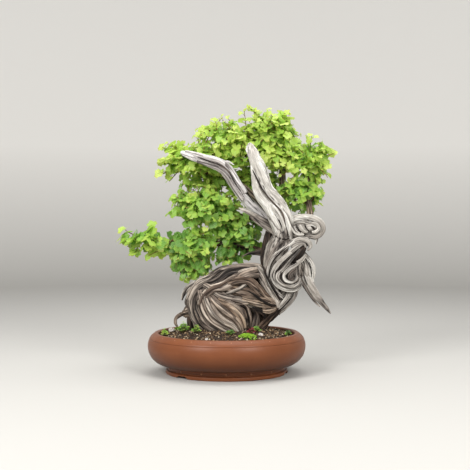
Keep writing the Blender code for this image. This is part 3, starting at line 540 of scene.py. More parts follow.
JINS = [
    (0.55, -0.60, 1.0, [
        (118, -2, 296, 16), (117, -3, 330, 18), (108, -4, 362, 16), (92, -5, 390, 15), (80, -6, 420, 13),
        (70, -7, 452, 11), (60, -8, 486, 8), (54, -8, 500, 4),
    ]),
    # the tall dead branch: the main sheet, the sheet left of its slit, and the ridge between its two slits
    (1.00, 0.44, 1.0, [
        (50, -8, 508, 4), (52, -9, 502, 9.5), (56, -10, 490, 13.5), (62, -11, 472, 15),
        (69, -12, 454, 16.5), (81, -13, 426, 15.5), (90, -13, 406, 13.5), (104, -13, 388, 15),
        (116, -13, 374, 14), (127, -13, 359, 12), (135, -13, 344, 11.5), (140, -12, 326, 11.5),
        (143, -12, 308, 10), (143, -12, 292, 7),
    ]),
    (1.00, 0.38, 1.0, [
        (54, -14, 462, 2), (57, -16, 444, 5), (61, -17, 428, 7.5), (68, -17, 406, 10.5), (76, -17, 390, 12),
        (87, -17, 374, 12), (95, -18, 358, 11), (104, -18, 341, 12.5), (112, -18, 324, 13),
        (117, -18, 310, 11), (125, -17, 298, 6),
    ]),
    (1.00, 0.36, 1.0, [
        (90, -22, 380, 2), (104, -24, 366, 4.5), (115, -24, 351, 5), (122, -24, 336, 5),
        (127, -22, 320, 4.5), (130, -20, 306, 3),
    ]),
    # thin near-black strands: painted shade in the tall branch's two slits
    (0.10, -0.95, 1.0, [
        (56, -19, 450, 1), (67, -25, 428, 1.7), (78, -25, 407, 1.8), (90, -27, 390, 2), (104, -26, 375, 2),
        (118, -24, 360, 1.8), (126, -22, 344, 1.6), (130, -20, 326, 1),
    ]),
    (0.10, -0.90, 1.0, [
        (90, -24, 364, 1), (103, -25, 352, 2.4), (113, -25, 339, 3), (120, -24, 324, 2.4),
        (123, -22, 310, 1),
    ]),
    (0.96, 0.48, 1.0, [
        (-102, 2, 488, 3), (-94, 2, 486, 7), (-70, 4, 477, 10.5), (-42, 7, 469, 13), (-20, 9, 461, 14.5),
        (-2, 11, 449, 15), (14, 13, 426, 15), (32, 15, 400, 14.5), (52, 16, 375, 13.5), (74, 14, 352, 13),
        (94, 10, 330, 12),
    ]),
    (0.98, 0.55, 1.0, [
        (-92, -2, 490, 3), (-66, -3, 483, 6), (-38, -3, 475, 7), (-14, -2, 467, 7), (6, -1, 452, 7),
        (22, 1, 426, 7), (42, 3, 398, 6),
    ]),
    (0.94, 0.42, 1.0, [
        (-66, -2, 468, 4), (-40, -4, 460, 6), (-16, -3, 450, 7), (0, -1, 436, 7), (16, 1, 410, 7),
        (36, 3, 382, 6),
    ]),
    # thin near-black strands: painted shade in the slits of the left dead branch
    (0.10, -0.85, 1.0, [
        (-64, -6, 477, 0.9), (-40, -9, 468, 1.5), (-14, -9, 459, 1.6), (4, -8, 445, 1.5),
        (19, -6, 419, 1.4), (36, -4, 394, 1),
    ]),
    (0.10, -0.75, 1.0, [(10, -2, 452, 1), (26, 0, 428, 1.5), (44, 2, 400, 1.5), (60, 3, 378, 1)]),
    (1.00, 0.50, 1.0, [(-10, -2, 466, 3), (4, -6, 467, 2.5), (16, -7, 460, 1)]),
    (0.75, 0.05, 1.0, [
        (110, 0, 318, 11), (90, -2, 331, 10), (70, -4, 344, 8), (51, -6, 354, 6), (36, -8, 361, 4),
        (27, -8, 365, 1.5),
    ]),
    (0.60, -0.15, 1.0, [(108, -2, 308, 9), (88, -4, 324, 8), (68, -6, 336, 6), (52, -8, 345, 2.5)]),
]


def wood_material(name, bump=0.5, line=0.5):
    """Coloured by pigment, which holds the wood's colour and its painted crevice and slit shade, with fine
    grain that runs along each strand's own flow.
    """
    material = bpy.data.materials.new(name)
    material.use_nodes = True
    nodes, links = material.node_tree.nodes, material.node_tree.links
    shader = nodes["Principled BSDF"]
    pigment = nodes.new("ShaderNodeAttribute")
    pigment.attribute_name = "pigment"
    flow = nodes.new("ShaderNodeAttribute")
    flow.attribute_name = "flow"
    stretch = shader_node(nodes, "VectorMath", "MULTIPLY", second=(0.9, 0.9, 0.07))
    grain = shader_node(nodes, "TexNoise", Scale=1.0, Detail=3.0)
    contrast = shader_node(nodes, "MapRange", From_Min=0.32, From_Max=0.66, To_Min=0.62, To_Max=1.18)
    wide = shader_node(nodes, "VectorMath", "MULTIPLY", second=(0.34, 0.34, 0.024))
    strands = shader_node(nodes, "TexNoise", Scale=1.0, Detail=2.0)
    furrow = shader_node(nodes, "MapRange", From_Min=0.40, From_Max=0.50, To_Min=line, To_Max=1.0)
    both = shader_node(nodes, "Math", "MULTIPLY")
    links.new(flow.outputs["Vector"], wide.inputs[0])
    links.new(wide.outputs[0], strands.inputs["Vector"])
    links.new(strands.outputs["Fac"], furrow.inputs["Value"])
    links.new(furrow.outputs["Result"], both.inputs[0])
    links.new(contrast.outputs["Result"], both.inputs[1])
    tint = shader_node(nodes, "VectorMath", "SCALE")
    relief = shader_node(nodes, "Bump", Strength=bump, Distance=0.0006)
    links.new(flow.outputs["Vector"], stretch.inputs[0])
    links.new(stretch.outputs[0], grain.inputs["Vector"])
    links.new(grain.outputs["Fac"], contrast.inputs["Value"])
    links.new(pigment.outputs["Color"], tint.inputs[0])
    links.new(both.outputs[0], tint.inputs["Scale"])
    links.new(tint.outputs[0], shader.inputs["Base Color"])
    links.new(grain.outputs["Fac"], relief.inputs["Height"])
    links.new(relief.outputs["Normal"], shader.inputs["Normal"])
    shader.inputs["Roughness"].default_value = 0.82
    shader.inputs["Specular IOR Level"].default_value = 0.25
    return material


PIECE_FACES = 80000  # four-sided faces, after which a wood piece goes on in a new one


def make_wood():
    burl, bleached = wood_material("old_wood", line=0.36), wood_material("deadwood", line=0.72)
    for name, strands in (("base_wood", CORE + BASE), ("column_wood", COLUMN), ("jin_wood", JINS)):
        stores = [Store()]
        for k, (tone, light, flat, points) in enumerate(strands):
            if len(stores[-1].faces) > PIECE_FACES:
                stores.append(Store())
            store = stores[-1]
            thickest = max(p[3] for p in points)
            hue = LAVENDER if name == "jin_wood" and points[0][0] < 0 else (1, 1, 1)
            around, parts = None, 1
            if name == "base_wood" and k >= len(CORE):
                around, flat, parts = HEART, flat * 0.66, 3
                points = [(x, y, z, r * 1.28) for x, y, z, r in points]
            elif name == "column_wood" and light > -0.3 and 4 < thickest < 9.6:
                parts = 2
            detail = {"rough": 1.3, "step": 2.6} if thickest > 15 else {"rough": 1.0, "step": 2.1}
            wood(store, points, tone, light, flat, seed=k + 1, hue=hue, around=around, parts=parts, **detail)
        for number, store in enumerate(stores):
            title = name if number == 0 else "%s_%d" % (name, number + 1)
            piece = store.build(title, burl if name == "base_wood" else bleached)
            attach(piece, "root")
            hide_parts("trunk")


# ---- scattering --------------------------------------------------------------------------------
def scatter_tree():
    """Geometry nodes: puts one of three shapes on each point, turned and sized by the point's attributes."""
    tree = bpy.data.node_groups.new("Scatter", "GeometryNodeTree")
    tree.interface.new_socket("Points", in_out="INPUT", socket_type="NodeSocketGeometry")
    for label in ("Shape A", "Shape B", "Shape C"):
        tree.interface.new_socket(label, in_out="INPUT", socket_type="NodeSocketObject")
    tree.interface.new_socket("Material", in_out="INPUT", socket_type="NodeSocketMaterial")
    tree.interface.new_socket("Geometry", in_out="OUTPUT", socket_type="NodeSocketGeometry")
    nodes, links = tree.nodes, tree.links
    entry = nodes.new("NodeGroupInput")
    leave = nodes.new("NodeGroupOutput")

    def named(label, kind):
        node = nodes.new("GeometryNodeInputNamedAttribute")
        node.data_type = kind
        node.inputs["Name"].default_value = label
        return next(s for s in node.outputs if s.enabled and s.name == "Attribute")

    join = nodes.new("GeometryNodeJoinGeometry")
    kind = named("kind", "INT")
    turn = nodes.new("FunctionNodeEulerToRotation")
    links.new(named("turn", "FLOAT_VECTOR"), turn.inputs[0])
    size = named("size", "FLOAT_VECTOR")
    for k, label in enumerate(("Shape A", "Shape B", "Shape C")):
        info = nodes.new("GeometryNodeObjectInfo")
        info.transform_space = "ORIGINAL"
        links.new(entry.outputs[label], info.inputs["Object"])
        chosen = nodes.new("FunctionNodeCompare")
        chosen.data_type = "INT"
        chosen.operation = "EQUAL"
        sockets = [s for s in chosen.inputs if s.enabled]
        links.new(kind, sockets[0])
        sockets[1].default_value = k
        place = nodes.new("GeometryNodeInstanceOnPoints")
        links.new(entry.outputs["Points"], place.inputs["Points"])
        links.new(chosen.outputs[0], place.inputs["Selection"])
        links.new(info.outputs["Geometry"], place.inputs["Instance"])
        links.new(turn.outputs[0], place.inputs["Rotation"])
        links.new(size, place.inputs["Scale"])
        links.new(place.outputs["Instances"], join.inputs[0])
    real = nodes.new("GeometryNodeRealizeInstances")
    paint = nodes.new("GeometryNodeSetMaterial")
    links.new(join.outputs[0], real.inputs[0])
    links.new(real.outputs[0], paint.inputs["Geometry"])
    links.new(entry.outputs["Material"], paint.inputs["Material"])
    links.new(paint.outputs[0], leave.inputs["Geometry"])
    return tree


SCATTER = scatter_tree()


def scattered(name, points, shapes, material):
    """A mesh of shapes on points, each (position in metres, rotation matrix, size, kind, tint)."""
    mesh = bpy.data.meshes.new(name + "_points")
    mesh.from_pydata([tuple(p[0]) for p in points], [], [])
    turns = [v for p in points for v in p[1].to_euler()]
    sizes = [v for p in points for v in (p[2] if hasattr(p[2], "__len__") else (p[2],) * 3)]
    mesh.attributes.new("turn", "FLOAT_VECTOR", "POINT").data.foreach_set("vector", turns)
    mesh.attributes.new("size", "FLOAT_VECTOR", "POINT").data.foreach_set("vector", sizes)
    mesh.attributes.new("kind", "INT", "POINT").data.foreach_set("value", [p[3] for p in points])
    mesh.attributes.new("tint", "FLOAT", "POINT").data.foreach_set("value", [p[4] for p in points])
    holder = bpy.data.objects.new(name + "_points", mesh)
    bpy.context.scene.collection.objects.link(holder)
    grow = holder.modifiers.new("Scatter", "NODES")
    grow.node_group = SCATTER
    sockets = {s.name: s.identifier for s in SCATTER.interface.items_tree if s.in_out == "INPUT"}
    for label, shape in zip(("Shape A", "Shape B", "Shape C"), shapes):
        grow[sockets[label]] = shape
    grow[sockets["Material"]] = material
    bpy.context.view_layer.update()
    ready = bpy.data.meshes.new_from_object(holder.evaluated_get(bpy.context.evaluated_depsgraph_get()))
    ready.name = name
    bpy.data.objects.remove(holder)
    obj = bpy.data.objects.new(name, ready)
    bpy.context.scene.collection.objects.link(obj)
    return obj


def aim(tip, normal):
    """A rotation whose +Y is tip and whose +Z is as near to normal as it can be."""
    y = Vector(tip).normalized()
    z = Vector(normal) - y * Vector(normal).dot(y)
    z = z.normalized() if z.length > 1e-4 else y.orthogonal().normalized()
    x = y.cross(z)
    return Matrix((x, y, z)).transposed()


# ---- leaves ------------------------------------------------------------------------------------
def leaf_shape(name, lobes, fold, droop, seed):
    """A small lobed and toothed leaf, one unit long from its petiole at the origin to its tip on +Y."""
    rng = random.Random(seed)
    bm = bmesh.new()
    skin = bm.loops.layers.uv.new("leaf")
    outline = []
    teeth = 22
    for k in range(teeth + 1):
        angle = math.radians(-158 + 316 * k / teeth)
        reach = 0.0
        for lobe_at, lobe_long, lobe_wide in lobes:
            off = (abs(angle) - math.radians(lobe_at)) / math.radians(lobe_wide)
            reach = max(reach, lobe_long * math.exp(-off * off) ** 0.5)
        reach = max(reach, 0.52) * (1.045 if k % 2 == 0 else 0.93) * rng.uniform(0.97, 1.03)
        outline.append((math.sin(angle) * reach, math.cos(angle) * reach))

    def lifted(x, y):
        ripple = 0.025 * math.sin(9 * x + 4 * y + seed)
        return (x, y, fold * abs(x) ** 1.2 - droop * max(0.0, x * x + y * y) + ripple * (abs(x) + abs(y)))

    root = bm.verts.new(lifted(0, 0))
    inner = [bm.verts.new(lifted(x * 0.5, y * 0.5)) for x, y in outline[::2]]
    rim = [bm.verts.new(lifted(x, y)) for x, y in outline]
    for k in range(len(inner) - 1):
        bm.faces.new((root, inner[k + 1], inner[k]))
        bm.faces.new((inner[k], inner[k + 1], rim[2 * k + 1]))
        bm.faces.new((inner[k], rim[2 * k + 1], rim[2 * k]))
        bm.faces.new((inner[k + 1], rim[2 * k + 2], rim[2 * k + 1]))
    for face in bm.faces:
        face.smooth = True
        for loop in face.loops:
            loop[skin].uv = (loop.vert.co.x * 0.5 + 0.5, loop.vert.co.y * 0.5 + 0.5)
    bmesh.ops.recalc_face_normals(bm, faces=bm.faces)
    if sum(f.normal.z for f in bm.faces) < 0:
        bmesh.ops.reverse_faces(bm, faces=bm.faces)
    return finished(name, bm)


LEAVES = [
    leaf_shape("leaf_three_lobed", [(0, 1.0, 42), (64, 0.86, 38), (126, 0.70, 44)], 0.20, 0.16, 1),
    leaf_shape("leaf_broad", [(0, 0.94, 52), (70, 0.86, 48), (130, 0.70, 44)], 0.12, 0.22, 2),
    leaf_shape("leaf_folded", [(0, 1.05, 40), (60, 0.80, 36), (124, 0.66, 44)], 0.50, 0.26, 3),
]


def leaf_material():
    """By tint, from deep green older leaves to yellow-green younger ones, with painted light making the
    higher and outer leaves yellower; pale veins; lit through from behind.
    """
    material = bpy.data.materials.new("leaf")
    material.use_nodes = True
    nodes, links = material.node_tree.nodes, material.node_tree.links
    shader = nodes["Principled BSDF"]
    tint = nodes.new("ShaderNodeAttribute")
    tint.attribute_name = "tint"
    colour = nodes.new("ShaderNodeValToRGB")
    stops = [
        (0.0, (0.055, 0.165, 0.036)), (0.25, (0.165, 0.365, 0.052)), (0.5, (0.325, 0.545, 0.070)),
        (0.75, (0.485, 0.650, 0.100)), (1.0, (0.590, 0.700, 0.160)),
    ]
    colour_stops(colour, stops)
    place = nodes.new("ShaderNodeUVMap")
    place.uv_map = "leaf"
    split = nodes.new("ShaderNodeSeparateXYZ")
    links.new(place.outputs[0], split.inputs[0])
    side = shader_node(nodes, "Math", "SUBTRACT", second=0.5)
    links.new(split.outputs["X"], side.inputs[0])
    away = shader_node(nodes, "Math", "ABSOLUTE")
    links.new(side.outputs[0], away.inputs[0])
    slope = shader_node(nodes, "Math", "MULTIPLY_ADD", second=-0.75)
    links.new(away.outputs[0], slope.inputs[0])
    links.new(split.outputs["Y"], slope.inputs[2])
    rows = shader_node(nodes, "Math", "PINGPONG", second=0.06)
    links.new(slope.outputs[0], rows.inputs[0])
    nearest = shader_node(nodes, "Math", "MINIMUM")
    links.new(rows.outputs[0], nearest.inputs[0])
    links.new(away.outputs[0], nearest.inputs[1])
    vein = shader_node(nodes, "MapRange", From_Min=0.018, From_Max=0.004, To_Max=0.45)
    links.new(nearest.outputs[0], vein.inputs["Value"])
    pale = nodes.new("ShaderNodeMix")
    pale.data_type = "RGBA"
    links.new(vein.outputs[0], pale.inputs["Factor"])
    links.new(colour.outputs[0], pale.inputs["A"])
    pale.inputs["B"].default_value = (0.50, 0.66, 0.25, 1)
    centred = shader_node(nodes, "VectorMath", "DISTANCE", second=(0.5, 0.5, 0.0))
    links.new(place.outputs[0], centred.inputs[0])
    margin = shader_node(nodes, "MapRange", From_Min=0.34, From_Max=0.52, To_Max=0.55)
    links.new(centred.outputs["Value"], margin.inputs["Value"])
    bronze = nodes.new("ShaderNodeMix")
    bronze.data_type = "RGBA"
    bronze.inputs["B"].default_value = (0.46, 0.33, 0.075, 1)
    links.new(margin.outputs["Result"], bronze.inputs["Factor"])
    links.new(next(s for s in pale.outputs if s.enabled), bronze.inputs["A"])
    through = nodes.new("ShaderNodeBsdfTranslucent")
    mix = nodes.new("ShaderNodeMixShader")
    mix.inputs[0].default_value = 0.46
    result = next(s for s in bronze.outputs if s.enabled)
    links.new(tint.outputs["Fac"], colour.inputs[0])
    links.new(result, shader.inputs["Base Color"])
    links.new(result, through.inputs["Color"])
    links.new(shader.outputs[0], mix.inputs[1])
    links.new(through.outputs[0], mix.inputs[2])
    links.new(mix.outputs[0], nodes["Material Output"].inputs["Surface"])
    shader.inputs["Roughness"].default_value = 0.42
    shader.inputs["Specular IOR Level"].default_value = 0.35
    return material


LEAF = leaf_material()
TWIG = wood_material("live_bark", 0.3)


def slim(store, path, radius, colours, sides=4):
    """A thin stalk along a path in millimetres, tapering between the two radii and colours."""
    path = np.array(path, float)
    _, first, second = frames_along(path, np.array([0.0, 0.3, 1.0]))
    share = np.linspace(0, 1, len(path))[:, None]
    r = radius[0] + (radius[1] - radius[0]) * share
    turn = np.linspace(0, 2 * math.pi, sides, endpoint=False)[None, :]
    verts = path[:, None, :] + first[:, None, :] * (np.cos(turn) * r)[..., None]
    verts = verts + second[:, None, :] * (np.sin(turn) * r)[..., None]
    faces = tube_faces(len(path), sides, store.count)
    paint = np.array(colours[0]) + (np.array(colours[1]) - np.array(colours[0])) * share
    paint = np.concatenate([np.repeat(paint, sides, axis=0), paint[:1], paint[-1:]])
    every = np.concatenate([verts.reshape(-1, 3), path[:1], path[-1:]])
    store.add(every, faces, pigment=np.c_[paint, np.ones(len(paint))], flow=every)


# live branches: the same guide points as the branches that carry the sprays
BRANCHES = {
    "left_low": [
        (104, 14, 262, 12), (74, 38, 268, 9), (30, 46, 280, 8), (-22, 42, 284, 7), (-75, 32, 276, 5.5),
        (-122, 20, 284, 4), (-170, 10, 290, 3), (-212, 6, 292, 2),
    ],
    "left_mid": [
        (108, 34, 312, 9), (78, 52, 330, 8), (38, 54, 344, 7), (-12, 44, 350, 6), (-60, 36, 356, 4.5),
        (-96, 30, 364, 3),
    ],
    "top": [(104, 46, 344, 12), (94, 62, 392, 10), (70, 76, 440, 8.5), (46, 82, 490, 7), (28, 82, 540, 4.5)],
    "upper_left": [
        (96, 58, 362, 9), (66, 66, 386, 8.5), (28, 70, 420, 7.5), (-22, 72, 444, 6), (-70, 68, 460, 4.5),
        (-124, 60, 470, 3),
    ],
    "top_right": [
        (98, 54, 364, 9), (122, 66, 396, 9), (126, 74, 450, 8), (118, 74, 510, 6), (112, 72, 556, 3.5),
    ],
    "right": [
        (186, 6, 340, 9), (184, 20, 372, 7), (178, 32, 402, 6.5), (184, 42, 440, 5), (198, 46, 486, 3.5),
    ],
    "back": [(112, 26, 292, 13), (108, 62, 312, 10), (92, 100, 344, 8), (74, 130, 388, 6), (66, 140, 430, 4)],
}
LIVE_STEM = [(110, 12, 262, 20), (112, 30, 302, 18), (106, 44, 340, 14), (104, 50, 356, 11)]

# spray: (branches that feed it, number of shoots, share of bright leaves, from younger leaves and from
# painted light, lower in the low, inner and back sprays)
SPRAYS = {
    "left_tip": (["left_low"], 10, 0.62),
    "left_low": (["left_low"], 50, 0.34),
    "left_inner": (["left_low", "left_mid"], 32, 0.20),
    "left_mid": (["left_mid"], 64, 0.42),
    "upper_left": (["upper_left"], 46, 0.62),
    "top_left": (["top", "upper_left"], 56, 0.66),
    "top": (["top", "top_right"], 76, 0.64),
    "right": (["right"], 46, 0.62),
    "right_low": (["right"], 33, 0.34),
    "back": (["back"], 50, 0.34),
    "back_left": (["back", "upper_left"], 30, 0.34),
}
CROWN = Vector((20, 60, 380))
LARGER_LEAVES = {"left_tip": 1.30, "top": 1.12, "upper_left": 1.12}
SPRAY_MARGIN = 1.12  # how far past its spray's half size a leaf's foot may be, as a share
# radii and colours of a stalk at its foot and at its tip
SHOOT_RADII, SHOOT_COLOURS = (1.7, 0.6), ((0.14, 0.060, 0.035), (0.30, 0.22, 0.06))
PETIOLE_RADII, PETIOLE_COLOURS = (0.55, 0.42), ((0.30, 0.13, 0.05), (0.32, 0.34, 0.08))
SEEDLING_RADII, SEEDLING_COLOURS = (0.5, 0.35), ((0.16, 0.10, 0.05), (0.14, 0.24, 0.06))
# places in a spray that a shoot reaches for sure
REACHED = {
    "left_tip": [
        (-232, 2, 296), (-224, 8, 314), (-229, -4, 290), (-196, 4, 268), (-172, 8, 320), (-204, 6, 288),
    ],
    "left_low": [
        (-80, 10, 206), (-68, 10, 214), (-94, 8, 202), (-44, 6, 214), (-62, 2, 206), (-86, 2, 202),
        (-30, 16, 222), (-52, 20, 212), (-104, 8, 210),
    ],
    "left_mid": [(26, 40, 352), (38, 46, 344), (14, 38, 362), (44, 40, 330), (-98, 20, 372), (-90, 24, 392)],
    "left_inner": [
        (66, 60, 296), (74, 62, 284), (56, 58, 306), (80, 64, 302), (62, 64, 320), (-26, 30, 268),
        (-20, 26, 252), (-14, 34, 262), (30, 44, 264), (20, 30, 252), (-36, 20, 250), (-8, 24, 238),
        (8, 20, 244), (-24, 18, 242), (40, 62, 262), (58, 70, 262), (24, 50, 256), (44, 40, 276),
        (0, 40, 250),
    ],
    "back": [
        (27, 66, 438), (16, 70, 450), (36, 68, 424), (52, 72, 410), (14, 74, 420), (100, 74, 420),
        (118, 70, 400), (113, 72, 438), (106, 76, 430), (124, 70, 446), (96, 80, 440), (128, 72, 424),
        (40, 70, 458), (30, 72, 464), (24, 66, 434), (48, 72, 446),
    ],
    "right": [(140, 20, 446), (130, 14, 458), (148, 24, 430), (138, 18, 418), (128, 26, 436), (152, 10, 450)],
    "right_low": [(124, 22, 392), (118, 18, 404), (134, 14, 380), (146, 10, 372)],
    "top": [
        (50, 50, 592), (40, 58, 584), (60, 52, 586), (131, 50, 580), (124, 54, 572), (60, 20, 470),
        (76, 16, 466), (120, 24, 458), (104, 20, 452), (50, 26, 486),
    ],
    "upper_left": [
        (-148, 60, 502), (-140, 56, 494), (-130, 60, 486), (-122, 58, 500), (-136, 62, 508),
        (-150, 58, 440), (-132, 56, 424),
    ],
    "top_left": [(20, 40, 462), (34, 44, 470), (6, 40, 466)],
}


def spray_of(name, feeders, shoots, young_and_lit, rng):
    """Shoots from the feeding branches out to the spray's bounds, with alternate leaves on petioles."""
    low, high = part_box("foliage_" + name)
    middle, half = (low + high) / 2 / MM, (high - low) / 2 / MM
    guides = []
    for feeder in feeders:
        path, _, _ = spline(BRANCHES[feeder], 6)
        guides += [Vector(p) for p in path]
    near = sorted(guides, key=lambda g: sum(((g - middle)[i] / half[i]) ** 2 for i in range(3)))
    near = near[: max(6, len(near) // 3)]
    wood_store, leaves = Store(), []
    sure = [Vector(p) for p in REACHED.get(name, [])]
    for index in range(shoots + len(sure)):
        start = near[int(rng.random() ** 1.3 * len(near))]
        spot = Vector((rng.gauss(0, 1), rng.gauss(0, 1) - 0.35, rng.gauss(0, 1) + 0.25)).normalized()
        reach = rng.uniform(0.70, 0.98)
        end = middle + Vector((spot.x * half.x, spot.y * half.y, spot.z * half.z)) * reach
        if index >= shoots:
            end = sure[index - shoots]
        run = (end - start).length
        lift = Vector((rng.uniform(-6, 6), rng.uniform(-6, 6), 0.16 * run))
        steps = max(4, int(run / 9))
        path = []
        for k in range(steps + 1):
            t = k / steps
            sag = lift * (4 * t * (1 - t)) * 0.6
            wobble = Vector((math.sin(5 * t + run), math.cos(4 * t + run), math.sin(7 * t))) * 1.6
            path.append(start + (end - start) * t + sag + wobble * t)
        slim(wood_store, path, SHOOT_RADII, SHOOT_COLOURS)
        spacing = rng.uniform(10.5, 14)
        count = max(3, int(run / spacing))
        for k in range(count):
            t = 0.18 + 0.82 * (k + rng.uniform(0.2, 0.8)) / count
            at = path[min(steps, int(t * steps))].lerp(path[min(steps, int(t * steps) + 1)], (t * steps) % 1)
            ahead = (path[min(steps, int(t * steps) + 1)] - path[max(0, int(t * steps) - 1)]).normalized()
            out = (at - middle).normalized() * 0.7 + (at - CROWN).normalized() * 0.6
            sideways = ahead.cross(Vector((0, 0, 1))).normalized() * (1 if k % 2 else -1)
            stalk = (sideways * 0.8 + ahead * 0.45 + out * 0.55 + Vector((0, -0.15, 0.25)))
            stalk = (stalk + Vector([rng.gauss(0, 0.30) for _ in range(3)])).normalized()
            stem = rng.uniform(8, 17) * (1 - 0.35 * t)
            tip = at + stalk * stem
            size = rng.uniform(10.5, 17.0) * (1.12 - 0.38 * t**2) if t < 0.92 else rng.uniform(6, 9.5)
            size *= LARGER_LEAVES.get(name, 1.0)
            blade = stalk * 0.55 + Vector((0, -0.10, -0.50)) + Vector([rng.gauss(0, 0.25) for _ in range(3)])
            face = out * 0.60 + Vector((0, -0.55, 0.62)) + Vector([rng.gauss(0, 0.48) for _ in range(3)])
            inside = max(abs((tip - middle)[i]) / half[i] for i in range(3))
            if inside > SPRAY_MARGIN:
                continue
            # Leaf tint: yellower for the spray's bright share, for small leaves near the tip and at random.
            # The height terms and the floor that rises with height are painted light on the top of the crown.
            # The outer term is partly younger growth and partly painted light on the spray's outside.
            height = (tip.z - 250) / 330
            out_share = min(1.0, inside)
            shade = young_and_lit * 0.55 + 0.40 * out_share**2 * (0.4 + 0.6 * young_and_lit)
            shade = shade + 0.22 * height + 0.18 * (t - 0.5)
            shade += rng.gauss(0, 0.16) + (0.18 if size < 9.5 else 0)
            shade = max(shade, 0.10 + 0.42 * height)
            petiole = [at, at.lerp(tip, 0.5) + Vector((0, 0, 0.8)), tip]
            slim(wood_store, petiole, PETIOLE_RADII, PETIOLE_COLOURS, sides=3)
            leaves.append((tip * MM, aim(blade, face), size * MM, rng.randrange(3), min(1, max(0, shade))))
    return wood_store, leaves


def make_tree_top():
    for name, points in BRANCHES.items():
        store = Store()
        wood(store, points, 0.12, -0.02, 1.0, rough=0.7, step=1.9, seed=50 + len(name))
        if name == "top":
            wood(store, LIVE_STEM, 0.12, 0.0, 1.0, rough=1.2, step=2.4, seed=77)
        piece = store.build("live_" + name, TWIG)
        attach(piece, "root")
        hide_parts("branch_" + name)
    for name, (feeders, shoots, young_and_lit) in SPRAYS.items():
        rng = random.Random("spray " + name)
        twigs, leaves = spray_of(name, feeders, shoots, young_and_lit, rng)
        stalks = twigs.build("shoots_" + name, TWIG)
        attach(stalks, "root")
        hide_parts("foliage_" + name)
        piece = scattered("leaves_" + name, leaves, LEAVES, LEAF)
        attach(piece, "root")
        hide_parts("foliage_" + name)


# ---- the pot -----------------------------------------------------------------------------------
POT_LOW, POT_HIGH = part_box("pot")
POT_R = (POT_HIGH.x - POT_LOW.x) / 2
POT_H = POT_HIGH.z
POT_AT = Vector(((POT_LOW.x + POT_HIGH.x) / 2, (POT_LOW.y + POT_HIGH.y) / 2, 0))
MOUTH = 0.151
FOOT = 0.1355
NECK_H = 0.0185  # table to where the belly begins
BAND_DROP = 0.0125  # lip down to the bead under the shoulder band
BAND_ANGLE = 22  # degrees up the belly's round where the shoulder band starts
WALL = 0.009
FLOOR_TOP = 0.019
FOOT_HEADS, BAND_HEADS = 15, 24
HEAD_SIZE = (0.0021, 0.0021, 0.0013)
SOIL_RECESS, SOIL_MOUND, SOIL_DEPTH = 0.007, 0.017, 0.016


def noise_bump(nodes, links, shader, scale, distance, strength=0.4, detail=3.0):
    place = nodes.new("ShaderNodeTexCoord")
    speck = shader_node(nodes, "TexNoise", Scale=scale, Detail=detail)
    relief = shader_node(nodes, "Bump", Strength=strength, Distance=distance)
    links.new(place.outputs["Object"], speck.inputs["Vector"])
    links.new(speck.outputs["Fac"], relief.inputs["Height"])
    links.new(relief.outputs["Normal"], shader.inputs["Normal"])
    return speck


def clay_material():
    material = bpy.data.materials.new("clay")
    material.use_nodes = True
    nodes, links = material.node_tree.nodes, material.node_tree.links
    shader = nodes["Principled BSDF"]
    noise_bump(nodes, links, shader, 900, 0.0002, 0.25)
    place = nodes.new("ShaderNodeTexCoord")
    cloud = shader_node(nodes, "TexNoise", Scale=26, Detail=5)
    links.new(place.outputs["Object"], cloud.inputs["Vector"])
    blend = nodes.new("ShaderNodeMix")
    blend.data_type = "RGBA"
    blend.inputs["A"].default_value = (0.128, 0.037, 0.012, 1)
    blend.inputs["B"].default_value = (0.186, 0.058, 0.020, 1)
    links.new(cloud.outputs["Fac"], blend.inputs["Factor"])
    # Painted shade under the belly: darkest, about half, just above the neck, back to full colour at 60 mm
    # up. The neck and foot below 18.3 mm keep about full colour.
    split = nodes.new("ShaderNodeSeparateXYZ")
    links.new(place.outputs["Object"], split.inputs[0])
    belly_shade = shader_node(nodes, "MapRange", From_Min=0.020, From_Max=0.060, To_Min=0.49)
    links.new(split.outputs["Z"], belly_shade.inputs["Value"])
    under = shader_node(nodes, "Math", "LESS_THAN", second=0.0183)
    links.new(split.outputs["Z"], under.inputs[0])
    shade_scale = shader_node(nodes, "Math", "MULTIPLY_ADD", second=0.60)
    links.new(under.outputs[0], shade_scale.inputs[0])
    links.new(belly_shade.outputs["Result"], shade_scale.inputs[2])
    shaded_clay = shader_node(nodes, "VectorMath", "SCALE")
    links.new(next(s for s in blend.outputs if s.enabled), shaded_clay.inputs[0])
    links.new(shade_scale.outputs[0], shaded_clay.inputs["Scale"])
    links.new(shaded_clay.outputs[0], shader.inputs["Base Color"])
    shader.inputs["Roughness"].default_value = 0.41
    shader.inputs["Specular IOR Level"].default_value = 0.26
    return material


def lathe(name, outline, segments, material, lift=None):
    """A closed turned body. outline is (radius, z) in metres; lift may raise a point by its angle."""
    bm = bmesh.new()
    rings = []
    for radius, z in outline:
        if radius < 1e-6:
            rings.append([bm.verts.new((POT_AT.x, POT_AT.y, z))])
            continue
        ring = []
        for k in range(segments):
            turn = 2 * math.pi * k / segments
            height = lift(turn, radius, z) if lift else z
            x, y = POT_AT.x + radius * math.sin(turn), POT_AT.y - radius * math.cos(turn)
            ring.append(bm.verts.new((x, y, height)))
        rings.append(ring)
    join_rings(bm, rings, segments)
    if bm.calc_volume(signed=True) < 0:
        bmesh.ops.reverse_faces(bm, faces=bm.faces)
    obj = finished(name, bm, material)
    obj.data.shade_smooth()
    obj.data.set_sharp_from_angle(angle=math.radians(38))
    bpy.context.scene.collection.objects.link(obj)
    return obj


def arc(cx, cz, radius, start, end, count):
    """Points of a round stretch of an outline, with its angles in degrees."""
    angles = [math.radians(start + (end - start) * k / count) for k in range(count + 1)]
    return [(cx + radius * math.cos(a), cz + radius * math.sin(a)) for a in angles]


ARCHES = (-45.0, 75.0, 195.0)  # degrees from the front towards +X
ARCH_HALF = 0.017
ARCH_RISE = 0.005


